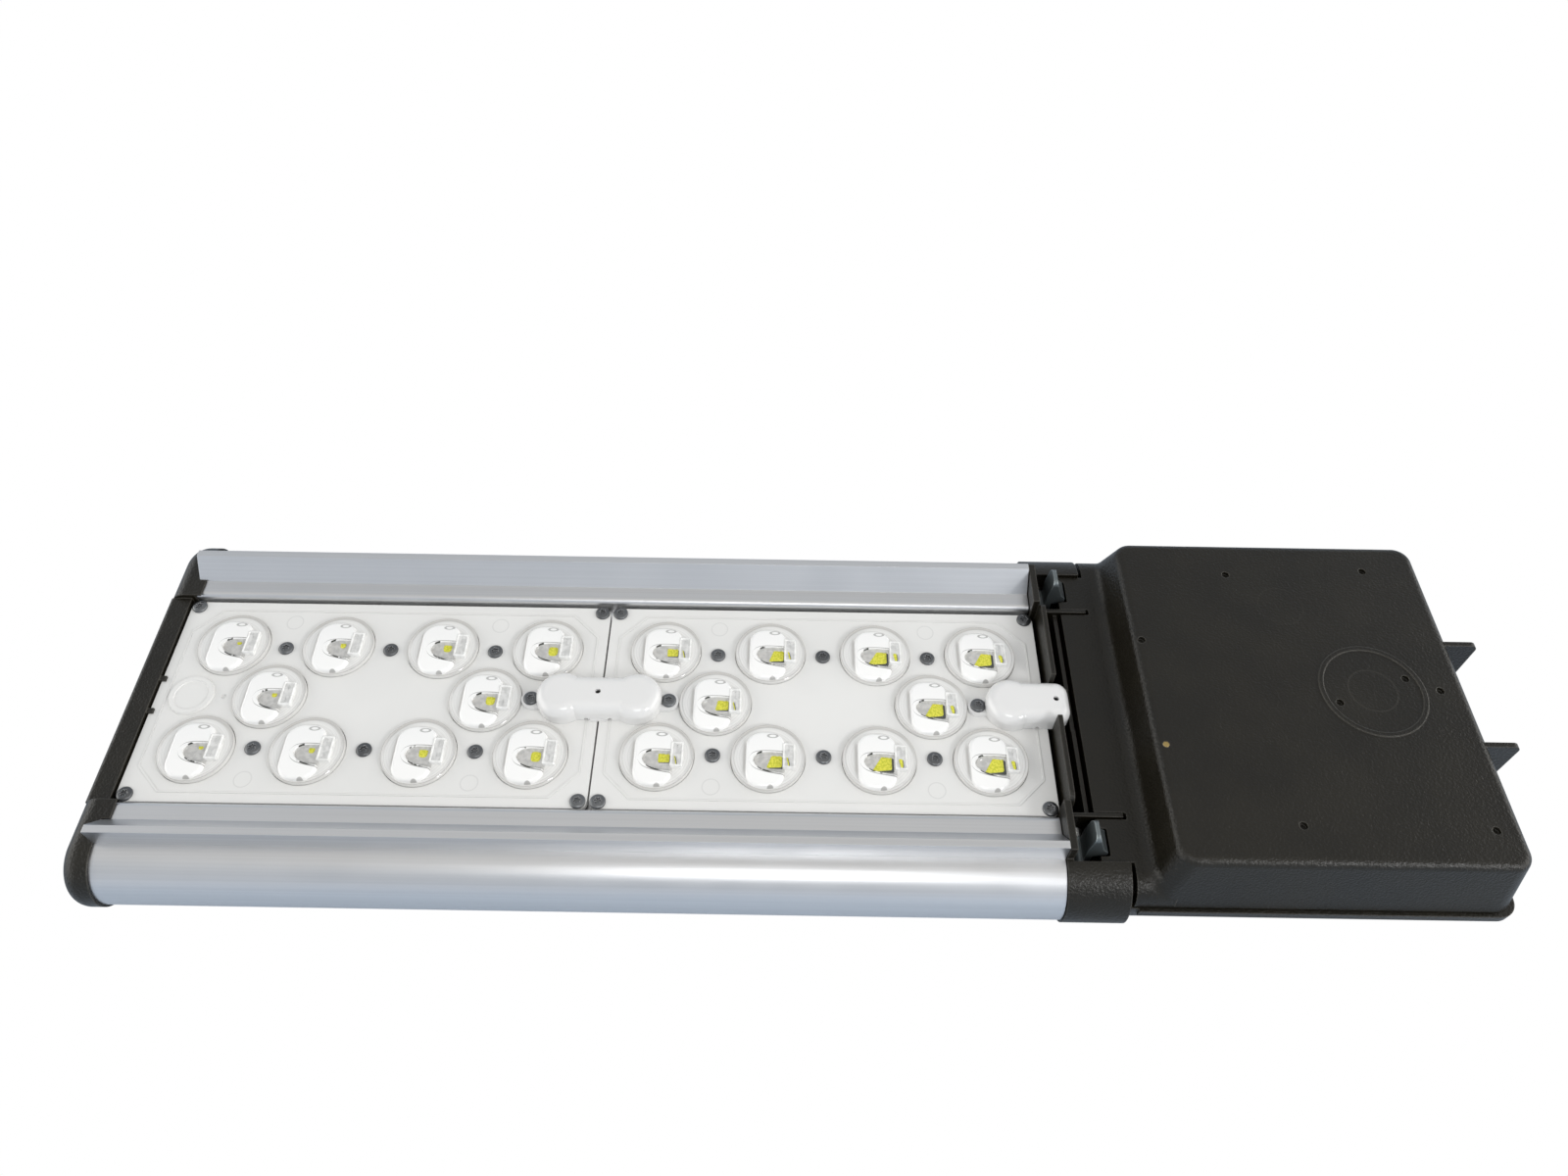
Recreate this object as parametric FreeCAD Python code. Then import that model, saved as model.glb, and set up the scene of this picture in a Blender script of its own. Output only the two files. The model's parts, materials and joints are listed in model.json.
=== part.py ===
import FreeCAD, Part
import math
import os

# LED street light head, lying on its back with the lit face up.
#
# Drafting datum: x = 0 at the joint between the two optic plates, y = 0 on the centre line and z = 0 at
# the tops of the plate screws. X runs towards the arm and Z out of the lit face. Every solid is drawn
# from that datum and moved at the end, so that the frame's origin is on the arm's axis in mid clamp.

Vector = FreeCAD.Vector
ALONG_X = Vector(1, 0, 0)
ALONG_Y = Vector(0, 1, 0)
ALONG_Z = Vector(0, 0, 1)
SIDES = (-1, 1)

# The two optic plates set the rest: what lies beside or beyond them follows from these sizes
PLATE_L = 247.0
PLATE_W = 129.5
PLATE_GAP = 1.0
PANEL_X1 = PLATE_GAP / 2 + PLATE_L

# Arm and clamp
ARM_D = 60.3
ARM_CLEARANCE = 0.15
ARM_X = PANEL_X1 + 189.5
ARM_Z = -20.0
CLAMP_L = 50.0
STRAP_T = 4.0
STRAP_EAR_T = 5.0
STRAP_EDGE_GAP = 3.0
CLAMP_BOLT_D = 8.0
CLAMP_BOLT_HEAD_D = 13.0
CLAMP_BOLT_HEAD_H = 5.3
CLAMP_BOLT_SPAN_X = 30.0
CLAMP_BOLT_ROOM = 0.7
CLAMP_BOLT_Y = ARM_D / 2 + ARM_CLEARANCE + STRAP_T + CLAMP_BOLT_HEAD_D / 2 + CLAMP_BOLT_ROOM
CLAMP_EAR_Y = CLAMP_BOLT_Y + 7.5

# Lens pattern
LENS_END_GAP = 33.5
LENS_PITCH = (PLATE_L - 2 * LENS_END_GAP) / 3
LENS_ROW_Y = PLATE_W * 0.262
LENS_HOLE_D = 40.6
LENS_FIT = 0.2
LENS_RIM_H = 1.0
LENS_CAP_D = 36.4
LENS_CAP_H = 2.2
REFRACTOR_X0 = -12.2
REFRACTOR_X1 = 7.9
REFRACTOR_HALF_W = 17.4
REFRACTOR_CORNER_R = 8.5
REFRACTOR_H = 6.2
REFRACTOR_CROWN_R = 40.0
PRISM_X1 = 14.4
PRISM_HALF_W = 7.0
PRISM_H = 5.0
PRISM_FALL = 1.6
CAVITY_X0 = -11.0
CAVITY_X1 = 8.0
CAVITY_HALF_W = 6.4
CAVITY_H = 5.6
LED_X = 1.5
LED_W = 5.0
LED_H = 1.2

# Optic plates and what is under them
SCREW_HEAD_H = 2.0
PLATE_CORNER_R = 5.0
PLATE_T = 2.5
PLATE_SKIRT_H = 4.5
PLATE_SKIRT_T = 2.2
PLATE_TOP = -SCREW_HEAD_H
RIDGE_INSET = 5.5
RIDGE_CHAMFER = 15.0
RIDGE_W = 0.9
RIDGE_H = 0.3
DIMPLE_D = 2.6
DIMPLE_DEPTH = 0.8
CORNER_SCREW_DX = PLATE_L / 2 - 4.8
CORNER_SCREW_DY = PLATE_W / 2 - 3.85
ROW_SCREW_Y = LENS_ROW_Y - 1.45
EAR_SCREW_DX = PLATE_L / 2 - 37.7
WIRE_ENTRY_DX = PLATE_L / 2 - 19.9
WIRE_HOLE_D = 18.0
SHEET_T = 2.0
SHEET_SIDE_GAP = 0.4
BOARD_T = 1.5
BOARD_INSET = 6.5
GASKET_T = 1.5
GASKET_W = 3.6

# Screws
SCREW_HEAD_D = 8.4
SCREW_D = 4.0
SCREW_CROWN = 0.7
SCREW_HOLE_GAP = 0.05
SCREW_SLACK = 0.4
PORT_SCREW_D = 5.0
PORT_SCREW_HEAD_D = 9.0
PORT_SCREW_HEAD_H = 2.6
PORT_SCREW_L = 22.0

# Wire covers
COVER_H = 12.0
COVER_T = 1.8
COVER_ROUND = 6.0
COVER_BULB_D = 28.4
COVER_WAIST_W = 23.0
BRIDGE_BULB_X = 20.5
EAR_D = 11.0
EAR_T = 2.8
END_COVER_X1 = PANEL_X1 + 12.0
END_COVER_W = 25.0
COVER_PIN_D = 3.0
COVER_SLOT_W = 1.8
COVER_SLOT_H = 2.0
COVER_TONGUE_T = 0.9
COVER_TONGUE_H = 1.3
PLUG_RING_D = 25.0
PLUG_DISC_D = 18.0
PLUG_H = 1.5

# Extruded heat sink
SINK_X0 = -PANEL_X1 + 1.2
SINK_X1 = PANEL_X1 - 1.7
SHOULDER_Y = PLATE_W / 2 + 1.75
RAIL_R = 21.6
RAIL_Y = SHOULDER_Y + 24.0
RAIL_Z = -19.6
RAIL_WALL = 2.6
FLANGE_TOP_Z = 15.0
FLANGE_TOP_Y = RAIL_Y - 4.2
FLANGE_T = 4.0
CHANNEL_Y = RAIL_Y - 13.5
CHANNEL_Z = 2.4
SHOULDER_R = 3.0
BASE_T = 5.0
REST_Z = -57.0
FIN_PITCH = SHOULDER_Y * 0.18
FINS_A_SIDE = 5
FLAT_FINS_A_SIDE = 3
FIN_STEP = 4.5
FIN_ROOT_T = 3.2
FIN_TIP_T = 2.0
PORT_R = 4.8
PORT_ANGLES = (-90.0, -170.0)

# End cap
CAP_X0 = SINK_X0 - 15.3
CAP_INNER_X = -PANEL_X1 - 0.9
CAP_SLEEVE_X = SINK_X0 + 0.5
CAP_LIP_X = SINK_X0 + 4.1
CAP_GROWTH = 1.3
CAP_SLEEVE_GAP = 0.15
CAP_TOP_Z = 0.0
CAP_STEP_Y = SHOULDER_Y - 0.5
CAP_ROUND = 9.5
CAP_BAR_ROUND = 3.0
CAP_TAB_Y = 10.5
CAP_TAB_W = 3.0
CAP_TAB_L = 3.4

# Upper housing, cast
HOUSING_WALL = 3.0
FRONT_X = SINK_X1 + 0.4
FRONT_T = 3.6
MID_WALL_X = FRONT_X + 3.5
MID_WALL_T = 2.6
MID_WALL_Y = RAIL_Y - 27.2
FRONT_TOP_Z = 14.5
NECK_R = 22.8
NECK_X1 = FRONT_X + 32.1
POCKET_Y = RAIL_Y + 1.2
HOUSING_HALF_W = RAIL_Y + 19.0
HOUSING_X1 = FRONT_X + 227.1
HOUSING_BOTTOM_R = 42.0
HOUSING_CORNER_R = 10.0
RIM_HALF_W = HOUSING_HALF_W + 1.7
RIM_OVERHANG = 3.0
RIM_H = 5.0
SEAM_Z = -12.0
DOOR_GASKET_T = 1.4
GASKET_AIR = 0.15
LIP_X = FRONT_X + 14.0
LIP_T = 2.2
LIP_TOP_Z = -1.5
RIB_Y = RAIL_Y - 25.0
RIB_T = 2.2
RIB_TOP_Z = 2.0
RIB_X1 = FRONT_X + 32.8
BULKHEAD_X = FRONT_X + 37.3
BULKHEAD_T = 4.0
ARM_PASS_GAP = 1.2
ARM_STOP_T = 4.0
GROMMET_HOLE_D = 18.0
GROMMET_Z = -32.0

# Door, cast
DOOR_WALL = 3.0
DOOR_X0 = FRONT_X + 18.2
APRON_TOP_Z = 1.0
APRON_EDGE_R = 12.5
APRON_T = 3.0
APRON_LIP_DROP = 9.0
APRON_STEP_X = DOOR_X0 + 16.4
DOOR_HALF_W = HOUSING_HALF_W - 0.5
DOOR_TOP_Z = 23.0
DOOR_TOP_HALF_W = DOOR_HALF_W - 8.5
DOOR_TOP_X0 = DOOR_X0 + 32.6
DOOR_FOOT_X = DOOR_X0 + 21.6
DOOR_X1 = HOUSING_X1 + 0.2
DOOR_TOP_X1 = DOOR_X1 - 2.6
DOOR_CORNER_R = 10.0
DOOR_ROUND = 5.0
FOOT_ROUND = 7.0
RIB_SLOT_W = 4.0
RIB_SLOT_X1 = DOOR_X0 + 16.6
LATCH_NOTCH_X1 = DOOR_X0 + 5.0
LATCH_NOTCH_Y = (RAIL_Y - 17.9, RAIL_Y - 2.5)
RING_X = DOOR_X0 + 155.4
RING_R = 27.3
RING_W = 2.5
RING_H = 0.6
PILOT_D = 4.2
PILOT_DEPTH = 2.3
PILOTS_FROM_DOOR_X0 = ((93.2, 78.0), (173.8, 82.0), (36.1, 31.0), (192.0, 0.6), (96.8, -80.0), (192.3, -81.0),
                       (175.4, 8.0), (135.4, -7.8))
BRASS_AT = (DOOR_X0 + 37.1, -35.0)
BRASS_D = 3.4

# Door hinge
ARM_PLATE_Y = 30.5
ARM_PLATE_T = 2.8
ARM_PLATE_ROUND = 4.0
HINGE_X = DOOR_X1 + 7.5
ARM_PLATE_X1 = HINGE_X + 7.0
HINGE_Z = -20.0
HINGE_R = 7.0
HINGE_PIN_D = 6.0
HINGE_PIN_GAP = 0.05
LUG_GAP = 0.5
LUG_T = 4.5
PIPE_NOTCH_TOP_Z = 17.5
PIPE_NOTCH_R = 10.0

# Latches
LATCH_PIVOT_X = FRONT_X + 10.4
LATCH_PIVOT_Z = -12.0
LATCH_BOSS_R = 4.0
LATCH_BOSS_REACH = 1.5
LATCH_SIDE_GAP = 0.2
LATCH_PIN_OVERRUN = 1.6
LATCH_PIN_D = 4.0
LATCH_PIN_GAP = 0.05
LATCH_Y = (RAIL_Y - 16.1, RAIL_Y - 4.0)
LATCH_BLADE_X = LATCH_PIVOT_X + 0.8
LATCH_BLADE_T = 3.4
LATCH_TOP_Z = 16.6
LATCH_TOP_ROUND = 3.6
LATCH_RIDGE_W = 2.0
LATCH_RIDGE_SET = 1.9
LATCH_BACK_Z = 5.0
HOOK_X1 = DOOR_X0 + 3.6
HOOK_Z = (-3.0, 4.5)
HOOK_BEVEL = 2.5
SPRING_WIRE_D = 0.9
SPRING_R = 3.3
SPRING_TURNS = 6
SPRING_PITCH = 0.8

# Driver and wiring gear
DRIVER_X = DOOR_X0 + 65.6
DRIVER_W = 54.0
DRIVER_HALF_L = 72.0
DRIVER_H = 32.0
DRIVER_EAR_L = 9.0
DRIVER_EAR_T = 3.0
DRIVER_ROUND = 3.0
DRIVER_SCREW_SPAN = 34.0
TERMINAL_AT = (BULKHEAD_X + 96.5, -55.0)
TERMINAL_SIZE = (54.0, 24.0, 22.0)
TERMINAL_POLES = 3
SURGE_AT = (BULKHEAD_X + 93.5, 53.0)
SURGE_SIZE = (56.0, 28.0, 24.0)
GROUND_AT = (BULKHEAD_X + 56.5, -60.0)


# What follows from the sizes above
OVERSIZE = 2 * PLATE_L
PLATE_CX = (PLATE_GAP + PLATE_L) / 2.0
SHEET_TOP = PLATE_TOP - PLATE_T
SHEET_BOTTOM = SHEET_TOP - SHEET_T
SKIRT_BOTTOM = PLATE_TOP - PLATE_SKIRT_H
BASE_TOP = SKIRT_BOTTOM - GASKET_T
BASE_BOTTOM = BASE_TOP - BASE_T
CLAMP_R = ARM_D / 2.0 + ARM_CLEARANCE
FLOOR_Z = REST_Z + HOUSING_WALL
RIM_TOP = SEAM_Z - DOOR_GASKET_T - GASKET_AIR
LENS_COLUMNS = [(i - 1.5) * LENS_PITCH for i in range(4)]
LENSES = [(x, s * LENS_ROW_Y) for s in SIDES for x in LENS_COLUMNS] + [(s * LENS_PITCH, 0.0) for s in SIDES]
PLATE_SCREWS = ([(s * CORNER_SCREW_DX, t * CORNER_SCREW_DY) for s in SIDES for t in SIDES]
                + [(i * LENS_PITCH, s * ROW_SCREW_Y) for s in SIDES for i in (-1, 0, 1)])
EAR_SCREWS = [(s * EAR_SCREW_DX, 0.0) for s in SIDES]
EAR_TOP = PLATE_TOP + EAR_T


# Drawing helpers

def box(x0, x1, y0, y1, z0, z1):
    return Part.makeBox(x1 - x0, y1 - y0, z1 - z0, Vector(x0, y0, z0))


def disc(x, y, z0, z1, r):
    return Part.makeCylinder(r, z1 - z0, Vector(x, y, z0), ALONG_Z)


def rod_x(x0, x1, y, z, r):
    return Part.makeCylinder(r, x1 - x0, Vector(x0, y, z), ALONG_X)


def rod_y(y0, y1, x, z, r):
    return Part.makeCylinder(r, y1 - y0, Vector(x, y0, z), ALONG_Y)


def fuse(shapes):
    first, rest = shapes[0], list(shapes[1:])
    return first.fuse(rest).removeSplitter() if rest else first


def outline(corners, place):
    """A face whose corners are (a, b) or (a, b, radius); place turns a, b into a point in space."""
    starts, ends, arcs = [], [], []
    count = len(corners)
    for i, corner in enumerate(corners):
        here = Vector(corner[0], corner[1], 0)
        radius = corner[2] if len(corner) > 2 else 0.0
        if radius <= 0.0:
            starts.append(here)
            ends.append(here)
            arcs.append(None)
            continue
        back = (Vector(corners[i - 1][0], corners[i - 1][1], 0) - here).normalize()
        ahead = (Vector(corners[(i + 1) % count][0], corners[(i + 1) % count][1], 0) - here).normalize()
        half = back.getAngle(ahead) / 2.0
        middle = (back + ahead).normalize()
        starts.append(here + back * (radius / math.tan(half)))
        ends.append(here + ahead * (radius / math.tan(half)))
        arcs.append(here + middle * (radius / math.sin(half) - radius))
    edges = []
    for i in range(count):
        start, end, following = starts[i], ends[i], starts[(i + 1) % count]
        if arcs[i] is not None:
            arc = Part.Arc(place(start.x, start.y), place(arcs[i].x, arcs[i].y), place(end.x, end.y))
            edges.append(arc.toShape())
        if (following - end).Length > 1e-6:
            edges.append(Part.makeLine(place(end.x, end.y), place(following.x, following.y)))
    return Part.Face(Part.Wire(edges))


def prism_x(corners, x0, x1):
    """The outline (y, z) carried from x0 to x1."""
    return outline(corners, lambda a, b: Vector(x0, a, b)).extrude(Vector(x1 - x0, 0, 0))


def prism_y(corners, y0, y1):
    """The outline (x, z) carried from y0 to y1."""
    return outline(corners, lambda a, b: Vector(a, y0, b)).extrude(Vector(0, y1 - y0, 0))


def prism_z(corners, z0, z1):
    """The outline (x, y) carried from z0 to z1."""
    return outline(corners, lambda a, b: Vector(a, b, z0)).extrude(Vector(0, 0, z1 - z0))


def rectangle(x0, x1, y0, y1, r=0.0):
    return [(x0, y0, r), (x1, y0, r), (x1, y1, r), (x0, y1, r)]


def both_halves(half):
    """A half outline with a > 0, run from its top to its bottom, closed by its mirror image."""
    mirrored = [(-corner[0],) + tuple(corner[1:]) for corner in reversed(half)]
    return list(half) + mirrored


def mirrored_y(shape):
    return shape.mirror(Vector(0, 0, 0), ALONG_Y)


def at_side(shape, side):
    """A shape drawn on the far side (y > 0), for the side asked."""
    return shape if side > 0 else mirrored_y(shape)


def revolved(corners, axis_point, axis):
    """The outline (radius, height) turned about an axis through axis_point."""
    face = outline(corners, lambda a, b: Vector(a, 0, b))
    solid = face.revolve(Vector(0, 0, 0), ALONG_Z, 360)
    solid.Placement = FreeCAD.Placement(Vector(0, 0, 0), FreeCAD.Rotation(ALONG_Z, axis))
    solid.translate(axis_point)
    return solid


def pan_screw(point, axis, head_d, head_h, shank_d, shank_l, crown):
    """A pan head screw whose head rests on point and whose head looks along axis."""
    head_r, shank_r = head_d / 2.0, shank_d / 2.0
    corners = [(0, -shank_l), (shank_r, -shank_l), (shank_r, 0), (head_r, 0), (head_r, head_h - crown),
               (head_r - crown, head_h), (0, head_h)]
    return revolved(corners, point, axis)


# Heat sink

def channel_void(x0, x1):
    """The open space over the plates and the side channels, bounded by the flanges' inner faces."""
    half = [(FLANGE_TOP_Y, OVERSIZE), (FLANGE_TOP_Y, FLANGE_TOP_Z), (CHANNEL_Y, CHANNEL_Z),
            (SHOULDER_Y, CHANNEL_Z, SHOULDER_R), (SHOULDER_Y, BASE_TOP)]
    return prism_x(both_halves(half), x0, x1)


def port_centres():
    """Screw ports of one rail as (y, z)."""
    reach = RAIL_R - RAIL_WALL - PORT_R + 1.6
    return [(RAIL_Y + reach * math.cos(math.radians(a)), RAIL_Z + reach * math.sin(math.radians(a)))
            for a in PORT_ANGLES]


def fin_tip_z(index):
    return REST_Z + max(0, abs(index) - FLAT_FINS_A_SIDE) * FIN_STEP


def heat_sink():
    x0, x1 = SINK_X0, SINK_X1
    solids = [prism_x([(-SHOULDER_Y - 12, BASE_TOP), (SHOULDER_Y + 12, BASE_TOP),
                       (SHOULDER_Y + 12, BASE_BOTTOM), (-SHOULDER_Y - 12, BASE_BOTTOM)], x0, x1)]
    for side in SIDES:
        rail = rod_x(x0, x1, RAIL_Y, RAIL_Z, RAIL_R)
        flange = prism_x([(SHOULDER_Y, CHANNEL_Z + 4), (FLANGE_TOP_Y, FLANGE_TOP_Z),
                          (FLANGE_TOP_Y + FLANGE_T, FLANGE_TOP_Z), (FLANGE_TOP_Y + FLANGE_T, BASE_BOTTOM),
                          (SHOULDER_Y, BASE_BOTTOM)], x0, x1)
        solids += [at_side(rail, side), at_side(flange, side)]
    for i in range(-FINS_A_SIDE, FINS_A_SIDE + 1):
        y, tip = i * FIN_PITCH, fin_tip_z(i)
        solids.append(prism_x([(y - FIN_ROOT_T / 2, BASE_BOTTOM + 1), (y + FIN_ROOT_T / 2, BASE_BOTTOM + 1),
                               (y + FIN_TIP_T / 2, tip), (y - FIN_TIP_T / 2, tip)], x0, x1))
    section = fuse(solids).cut(channel_void(x0 - 1, x1 + 1))
    wall_block = channel_void(x0 - 2, x1 + 2)
    holes = []
    for side in SIDES:
        hollow = rod_x(x0 - 1, x1 + 1, RAIL_Y, RAIL_Z, RAIL_R - RAIL_WALL)
        wall = wall_block.translated(Vector(0, RAIL_WALL, -RAIL_WALL))
        hollow = hollow.cut(wall)
        for y, z in port_centres():
            hollow = hollow.cut(rod_x(x0 - 2, x1 + 2, y, z, PORT_R))
        holes.append(at_side(hollow, side))
        for y, z in port_centres():
            holes.append(at_side(rod_x(x0 - 1, x1 + 1, y, z, PORT_SCREW_D / 2 + SCREW_HOLE_GAP), side))
    for side in SIDES:
        for x, y in PLATE_SCREWS + EAR_SCREWS:
            holes.append(disc(side * PLATE_CX + x, y, BASE_BOTTOM - 1, BASE_TOP + 1,
                              SCREW_D / 2 + SCREW_HOLE_GAP))
    return section.cut(holes).removeSplitter()


def sink_envelope(x0, x1, gap):
    """What the heat sink fills between its rails' outsides, grown by gap, without its hollows and fins."""
    solids = [box(x0, x1, -SHOULDER_Y, SHOULDER_Y, BASE_BOTTOM - gap, BASE_TOP + gap)]
    for side in SIDES:
        flange = prism_x([(SHOULDER_Y - gap, CHANNEL_Z + gap), (CHANNEL_Y - gap, CHANNEL_Z + gap),
                          (FLANGE_TOP_Y - gap, FLANGE_TOP_Z + gap),
                          (FLANGE_TOP_Y + FLANGE_T + gap, FLANGE_TOP_Z + gap),
                          (FLANGE_TOP_Y + FLANGE_T + gap, RAIL_Z), (SHOULDER_Y - gap, BASE_BOTTOM)], x0, x1)
        solids += [at_side(rod_x(x0, x1, RAIL_Y, RAIL_Z, RAIL_R + gap), side), at_side(flange, side)]
    return fuse(solids)


def rounded_bar(top_z, inner_x, r, y0, y1):
    """A bar along Y whose outer top edge is rounded, from the cap's outer face to inner_x."""
    return prism_y([(CAP_X0, REST_Z), (CAP_X0, top_z, r), (inner_x, top_z), (inner_x, REST_Z)], y0, y1)


def end_cap():
    r = RAIL_R + CAP_GROWTH
    skirt_y = FIN_PITCH * FINS_A_SIDE + FIN_ROOT_T
    skirt = prism_x(both_halves([(CAP_STEP_Y, FLANGE_TOP_Z), (CAP_STEP_Y, RAIL_Z - r / 2),
                                 (skirt_y, fin_tip_z(FINS_A_SIDE), 3.0),
                                 (FIN_PITCH * FLAT_FINS_A_SIDE + FIN_ROOT_T, REST_Z)]), CAP_X0, CAP_INNER_X)
    middle = rounded_bar(CAP_TOP_Z, CAP_INNER_X, CAP_BAR_ROUND, -CAP_STEP_Y, CAP_STEP_Y)
    solids = [middle.common(skirt)]
    for side in SIDES:
        knob = rod_x(CAP_X0, CAP_SLEEVE_X, RAIL_Y, RAIL_Z, r)
        knob = knob.makeFillet(CAP_ROUND, [e for e in knob.Edges if e.BoundBox.XMax < CAP_X0 + 1e-3])
        knob = knob.cut(box(CAP_X0 - 1, CAP_SLEEVE_X + 1, 0, RAIL_Y, RAIL_Z, OVERSIZE))
        high = rounded_bar(RAIL_Z + r, CAP_SLEEVE_X, CAP_ROUND, CAP_STEP_Y, RAIL_Y)
        high = high.common(box(CAP_X0, CAP_SLEEVE_X, 0, RAIL_Y, RAIL_Z, OVERSIZE))
        lip = box(SINK_X0 - 1, CAP_LIP_X, CAP_STEP_Y, CHANNEL_Y, CHANNEL_Z, RAIL_Z + r)
        tab = box(CAP_INNER_X - 1, CAP_INNER_X + CAP_TAB_L, CAP_TAB_Y - CAP_TAB_W / 2, CAP_TAB_Y + CAP_TAB_W / 2,
                  PLATE_TOP, CAP_TOP_Z - 0.6)
        solids += [at_side(shape, side) for shape in (knob, high, lip, tab)]
    cap = fuse(solids).cut(sink_envelope(SINK_X0 - CAP_SLEEVE_GAP, CAP_LIP_X + 1, CAP_SLEEVE_GAP))
    cap = cap.cut(plate_blank(-PLATE_CX, -0.3, BASE_TOP, PLATE_TOP, PLATE_CORNER_R))
    holes = []
    for side in SIDES:
        for y, z in port_centres():
            holes.append(at_side(rod_x(CAP_X0 - 1, CAP_SLEEVE_X, y, z, PORT_SCREW_D / 2 + SCREW_SLACK), side))
            holes.append(at_side(rod_x(CAP_X0 - 1, CAP_X0 + PORT_SCREW_HEAD_H + 0.3, y, z,
                                       PORT_SCREW_HEAD_D / 2 + SCREW_SLACK), side))
    holes.append(box(CAP_X0 + 3.5, CAP_INNER_X + 1, -SHOULDER_Y + 8, SHOULDER_Y - 8, BASE_BOTTOM - 22,
                     CAP_TOP_Z - 5))
    return cap.cut(holes).removeSplitter()


def port_screws(seat_x, facing):
    """Four screws in the rails' ports, heads looking along facing (-1 or 1 in x)."""
    screws = []
    for side in SIDES:
        for y, z in port_centres():
            screw = pan_screw(Vector(seat_x, y, z), Vector(facing, 0, 0), PORT_SCREW_HEAD_D,
                              PORT_SCREW_HEAD_H, PORT_SCREW_D, PORT_SCREW_L, 0.8)
            screws.append(at_side(screw, side))
    return Part.makeCompound(screws)


# Optics

def plate_blank(cx, inset, z0, z1, corner):
    hx, hy = PLATE_L / 2 - inset, PLATE_W / 2 - inset
    return prism_z(rectangle(cx - hx, cx + hx, -hy, hy, corner), z0, z1)


def ridge_outline(cx, inset):
    hx, hy = PLATE_L / 2 - inset, PLATE_W / 2 - inset
    c = RIDGE_CHAMFER
    return [(cx - hx + c, -hy), (cx + hx - c, -hy), (cx + hx, -hy + c), (cx + hx, hy - c),
            (cx + hx - c, hy), (cx - hx + c, hy), (cx - hx, hy - c), (cx - hx, -hy + c)]


def screw_holes(cx, z0, z1, gap, points=PLATE_SCREWS + EAR_SCREWS):
    return [disc(cx + x, y, z0, z1, SCREW_D / 2 + gap) for x, y in points]


def optic_plate(side):
    cx = side * PLATE_CX
    plate = plate_blank(cx, 0.0, SKIRT_BOTTOM, PLATE_TOP, PLATE_CORNER_R)
    pocket = plate_blank(cx, PLATE_SKIRT_T, SKIRT_BOTTOM - 1, SHEET_TOP, PLATE_CORNER_R - PLATE_SKIRT_T)
    ridge = prism_z(ridge_outline(cx, RIDGE_INSET), PLATE_TOP - 0.5, PLATE_TOP + RIDGE_H)
    ridge = ridge.cut(prism_z(ridge_outline(cx, RIDGE_INSET + RIDGE_W), PLATE_TOP - 1, PLATE_TOP + 1))
    bosses = [disc(cx + x, y, SKIRT_BOTTOM, PLATE_TOP, SCREW_HEAD_D / 2) for x, y in PLATE_SCREWS[:4]]
    plate = plate.cut(pocket).fuse([ridge] + bosses)
    ears = EAR_SCREWS if side > 0 else EAR_SCREWS[1:]
    holes = screw_holes(cx, SKIRT_BOTTOM - 1, PLATE_TOP + 1, SCREW_SLACK, PLATE_SCREWS + ears)
    if side < 0:
        holes.append(disc(cx - EAR_SCREW_DX, 0, PLATE_TOP - DIMPLE_DEPTH, PLATE_TOP + 1, DIMPLE_D / 2))
    holes += [disc(cx + x, y, SKIRT_BOTTOM - 1, PLATE_TOP + 1, LENS_HOLE_D / 2) for x, y in LENSES]
    holes += [disc(cx + s * WIRE_ENTRY_DX, 0, SKIRT_BOTTOM - 1, PLATE_TOP + 1, WIRE_HOLE_D / 2) for s in SIDES]
    return plate.cut(holes).removeSplitter()


def eye_outline(x, y, z0, z1):
    """An upright eye-shaped prism: two arcs that meet at its ends."""
    left, right = Vector(x + CAVITY_X0, y, z0), Vector(x + CAVITY_X1, y, z0)
    mid_x = x + (CAVITY_X0 + CAVITY_X1) / 2
    far = Part.Arc(left, Vector(mid_x, y + CAVITY_HALF_W, z0), right).toShape()
    near = Part.Arc(right, Vector(mid_x, y - CAVITY_HALF_W, z0), left).toShape()
    return Part.Face(Part.Wire([far, near])).extrude(Vector(0, 0, z1 - z0))


def lens(x, y):
    """One free-form lens: round rim, low dome, crowned refractor body and the side prism."""
    rim_top = PLATE_TOP + LENS_RIM_H - 0.6
    rim = disc(x, y, SHEET_TOP - 0.2, rim_top, LENS_HOLE_D / 2 - LENS_FIT)
    cap_r = LENS_CAP_D / 2
    sphere_r = (cap_r ** 2 + LENS_CAP_H ** 2) / (2 * LENS_CAP_H)
    cap = Part.makeSphere(sphere_r, Vector(x, y, rim_top + LENS_CAP_H - sphere_r))
    cap = cap.common(disc(x, y, rim_top - 0.5, rim_top + LENS_CAP_H + 1, cap_r))
    top = rim_top + REFRACTOR_H - LENS_RIM_H
    body = prism_z(rectangle(x + REFRACTOR_X0, x + REFRACTOR_X1, y - REFRACTOR_HALF_W, y + REFRACTOR_HALF_W,
                             REFRACTOR_CORNER_R), SHEET_TOP, top)
    body = body.common(rod_x(x + REFRACTOR_X0 - 1, x + REFRACTOR_X1 + 1, y, top - REFRACTOR_CROWN_R,
                             REFRACTOR_CROWN_R))
    prism_top = rim_top + PRISM_H - LENS_RIM_H
    prism = prism_y([(x + REFRACTOR_X1 - 1, SHEET_TOP), (x + PRISM_X1, SHEET_TOP),
                     (x + PRISM_X1, prism_top - PRISM_FALL), (x + REFRACTOR_X1 - 1, prism_top)],
                    y - PRISM_HALF_W, y + PRISM_HALF_W)
    return [rim, cap, body, prism]


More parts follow.
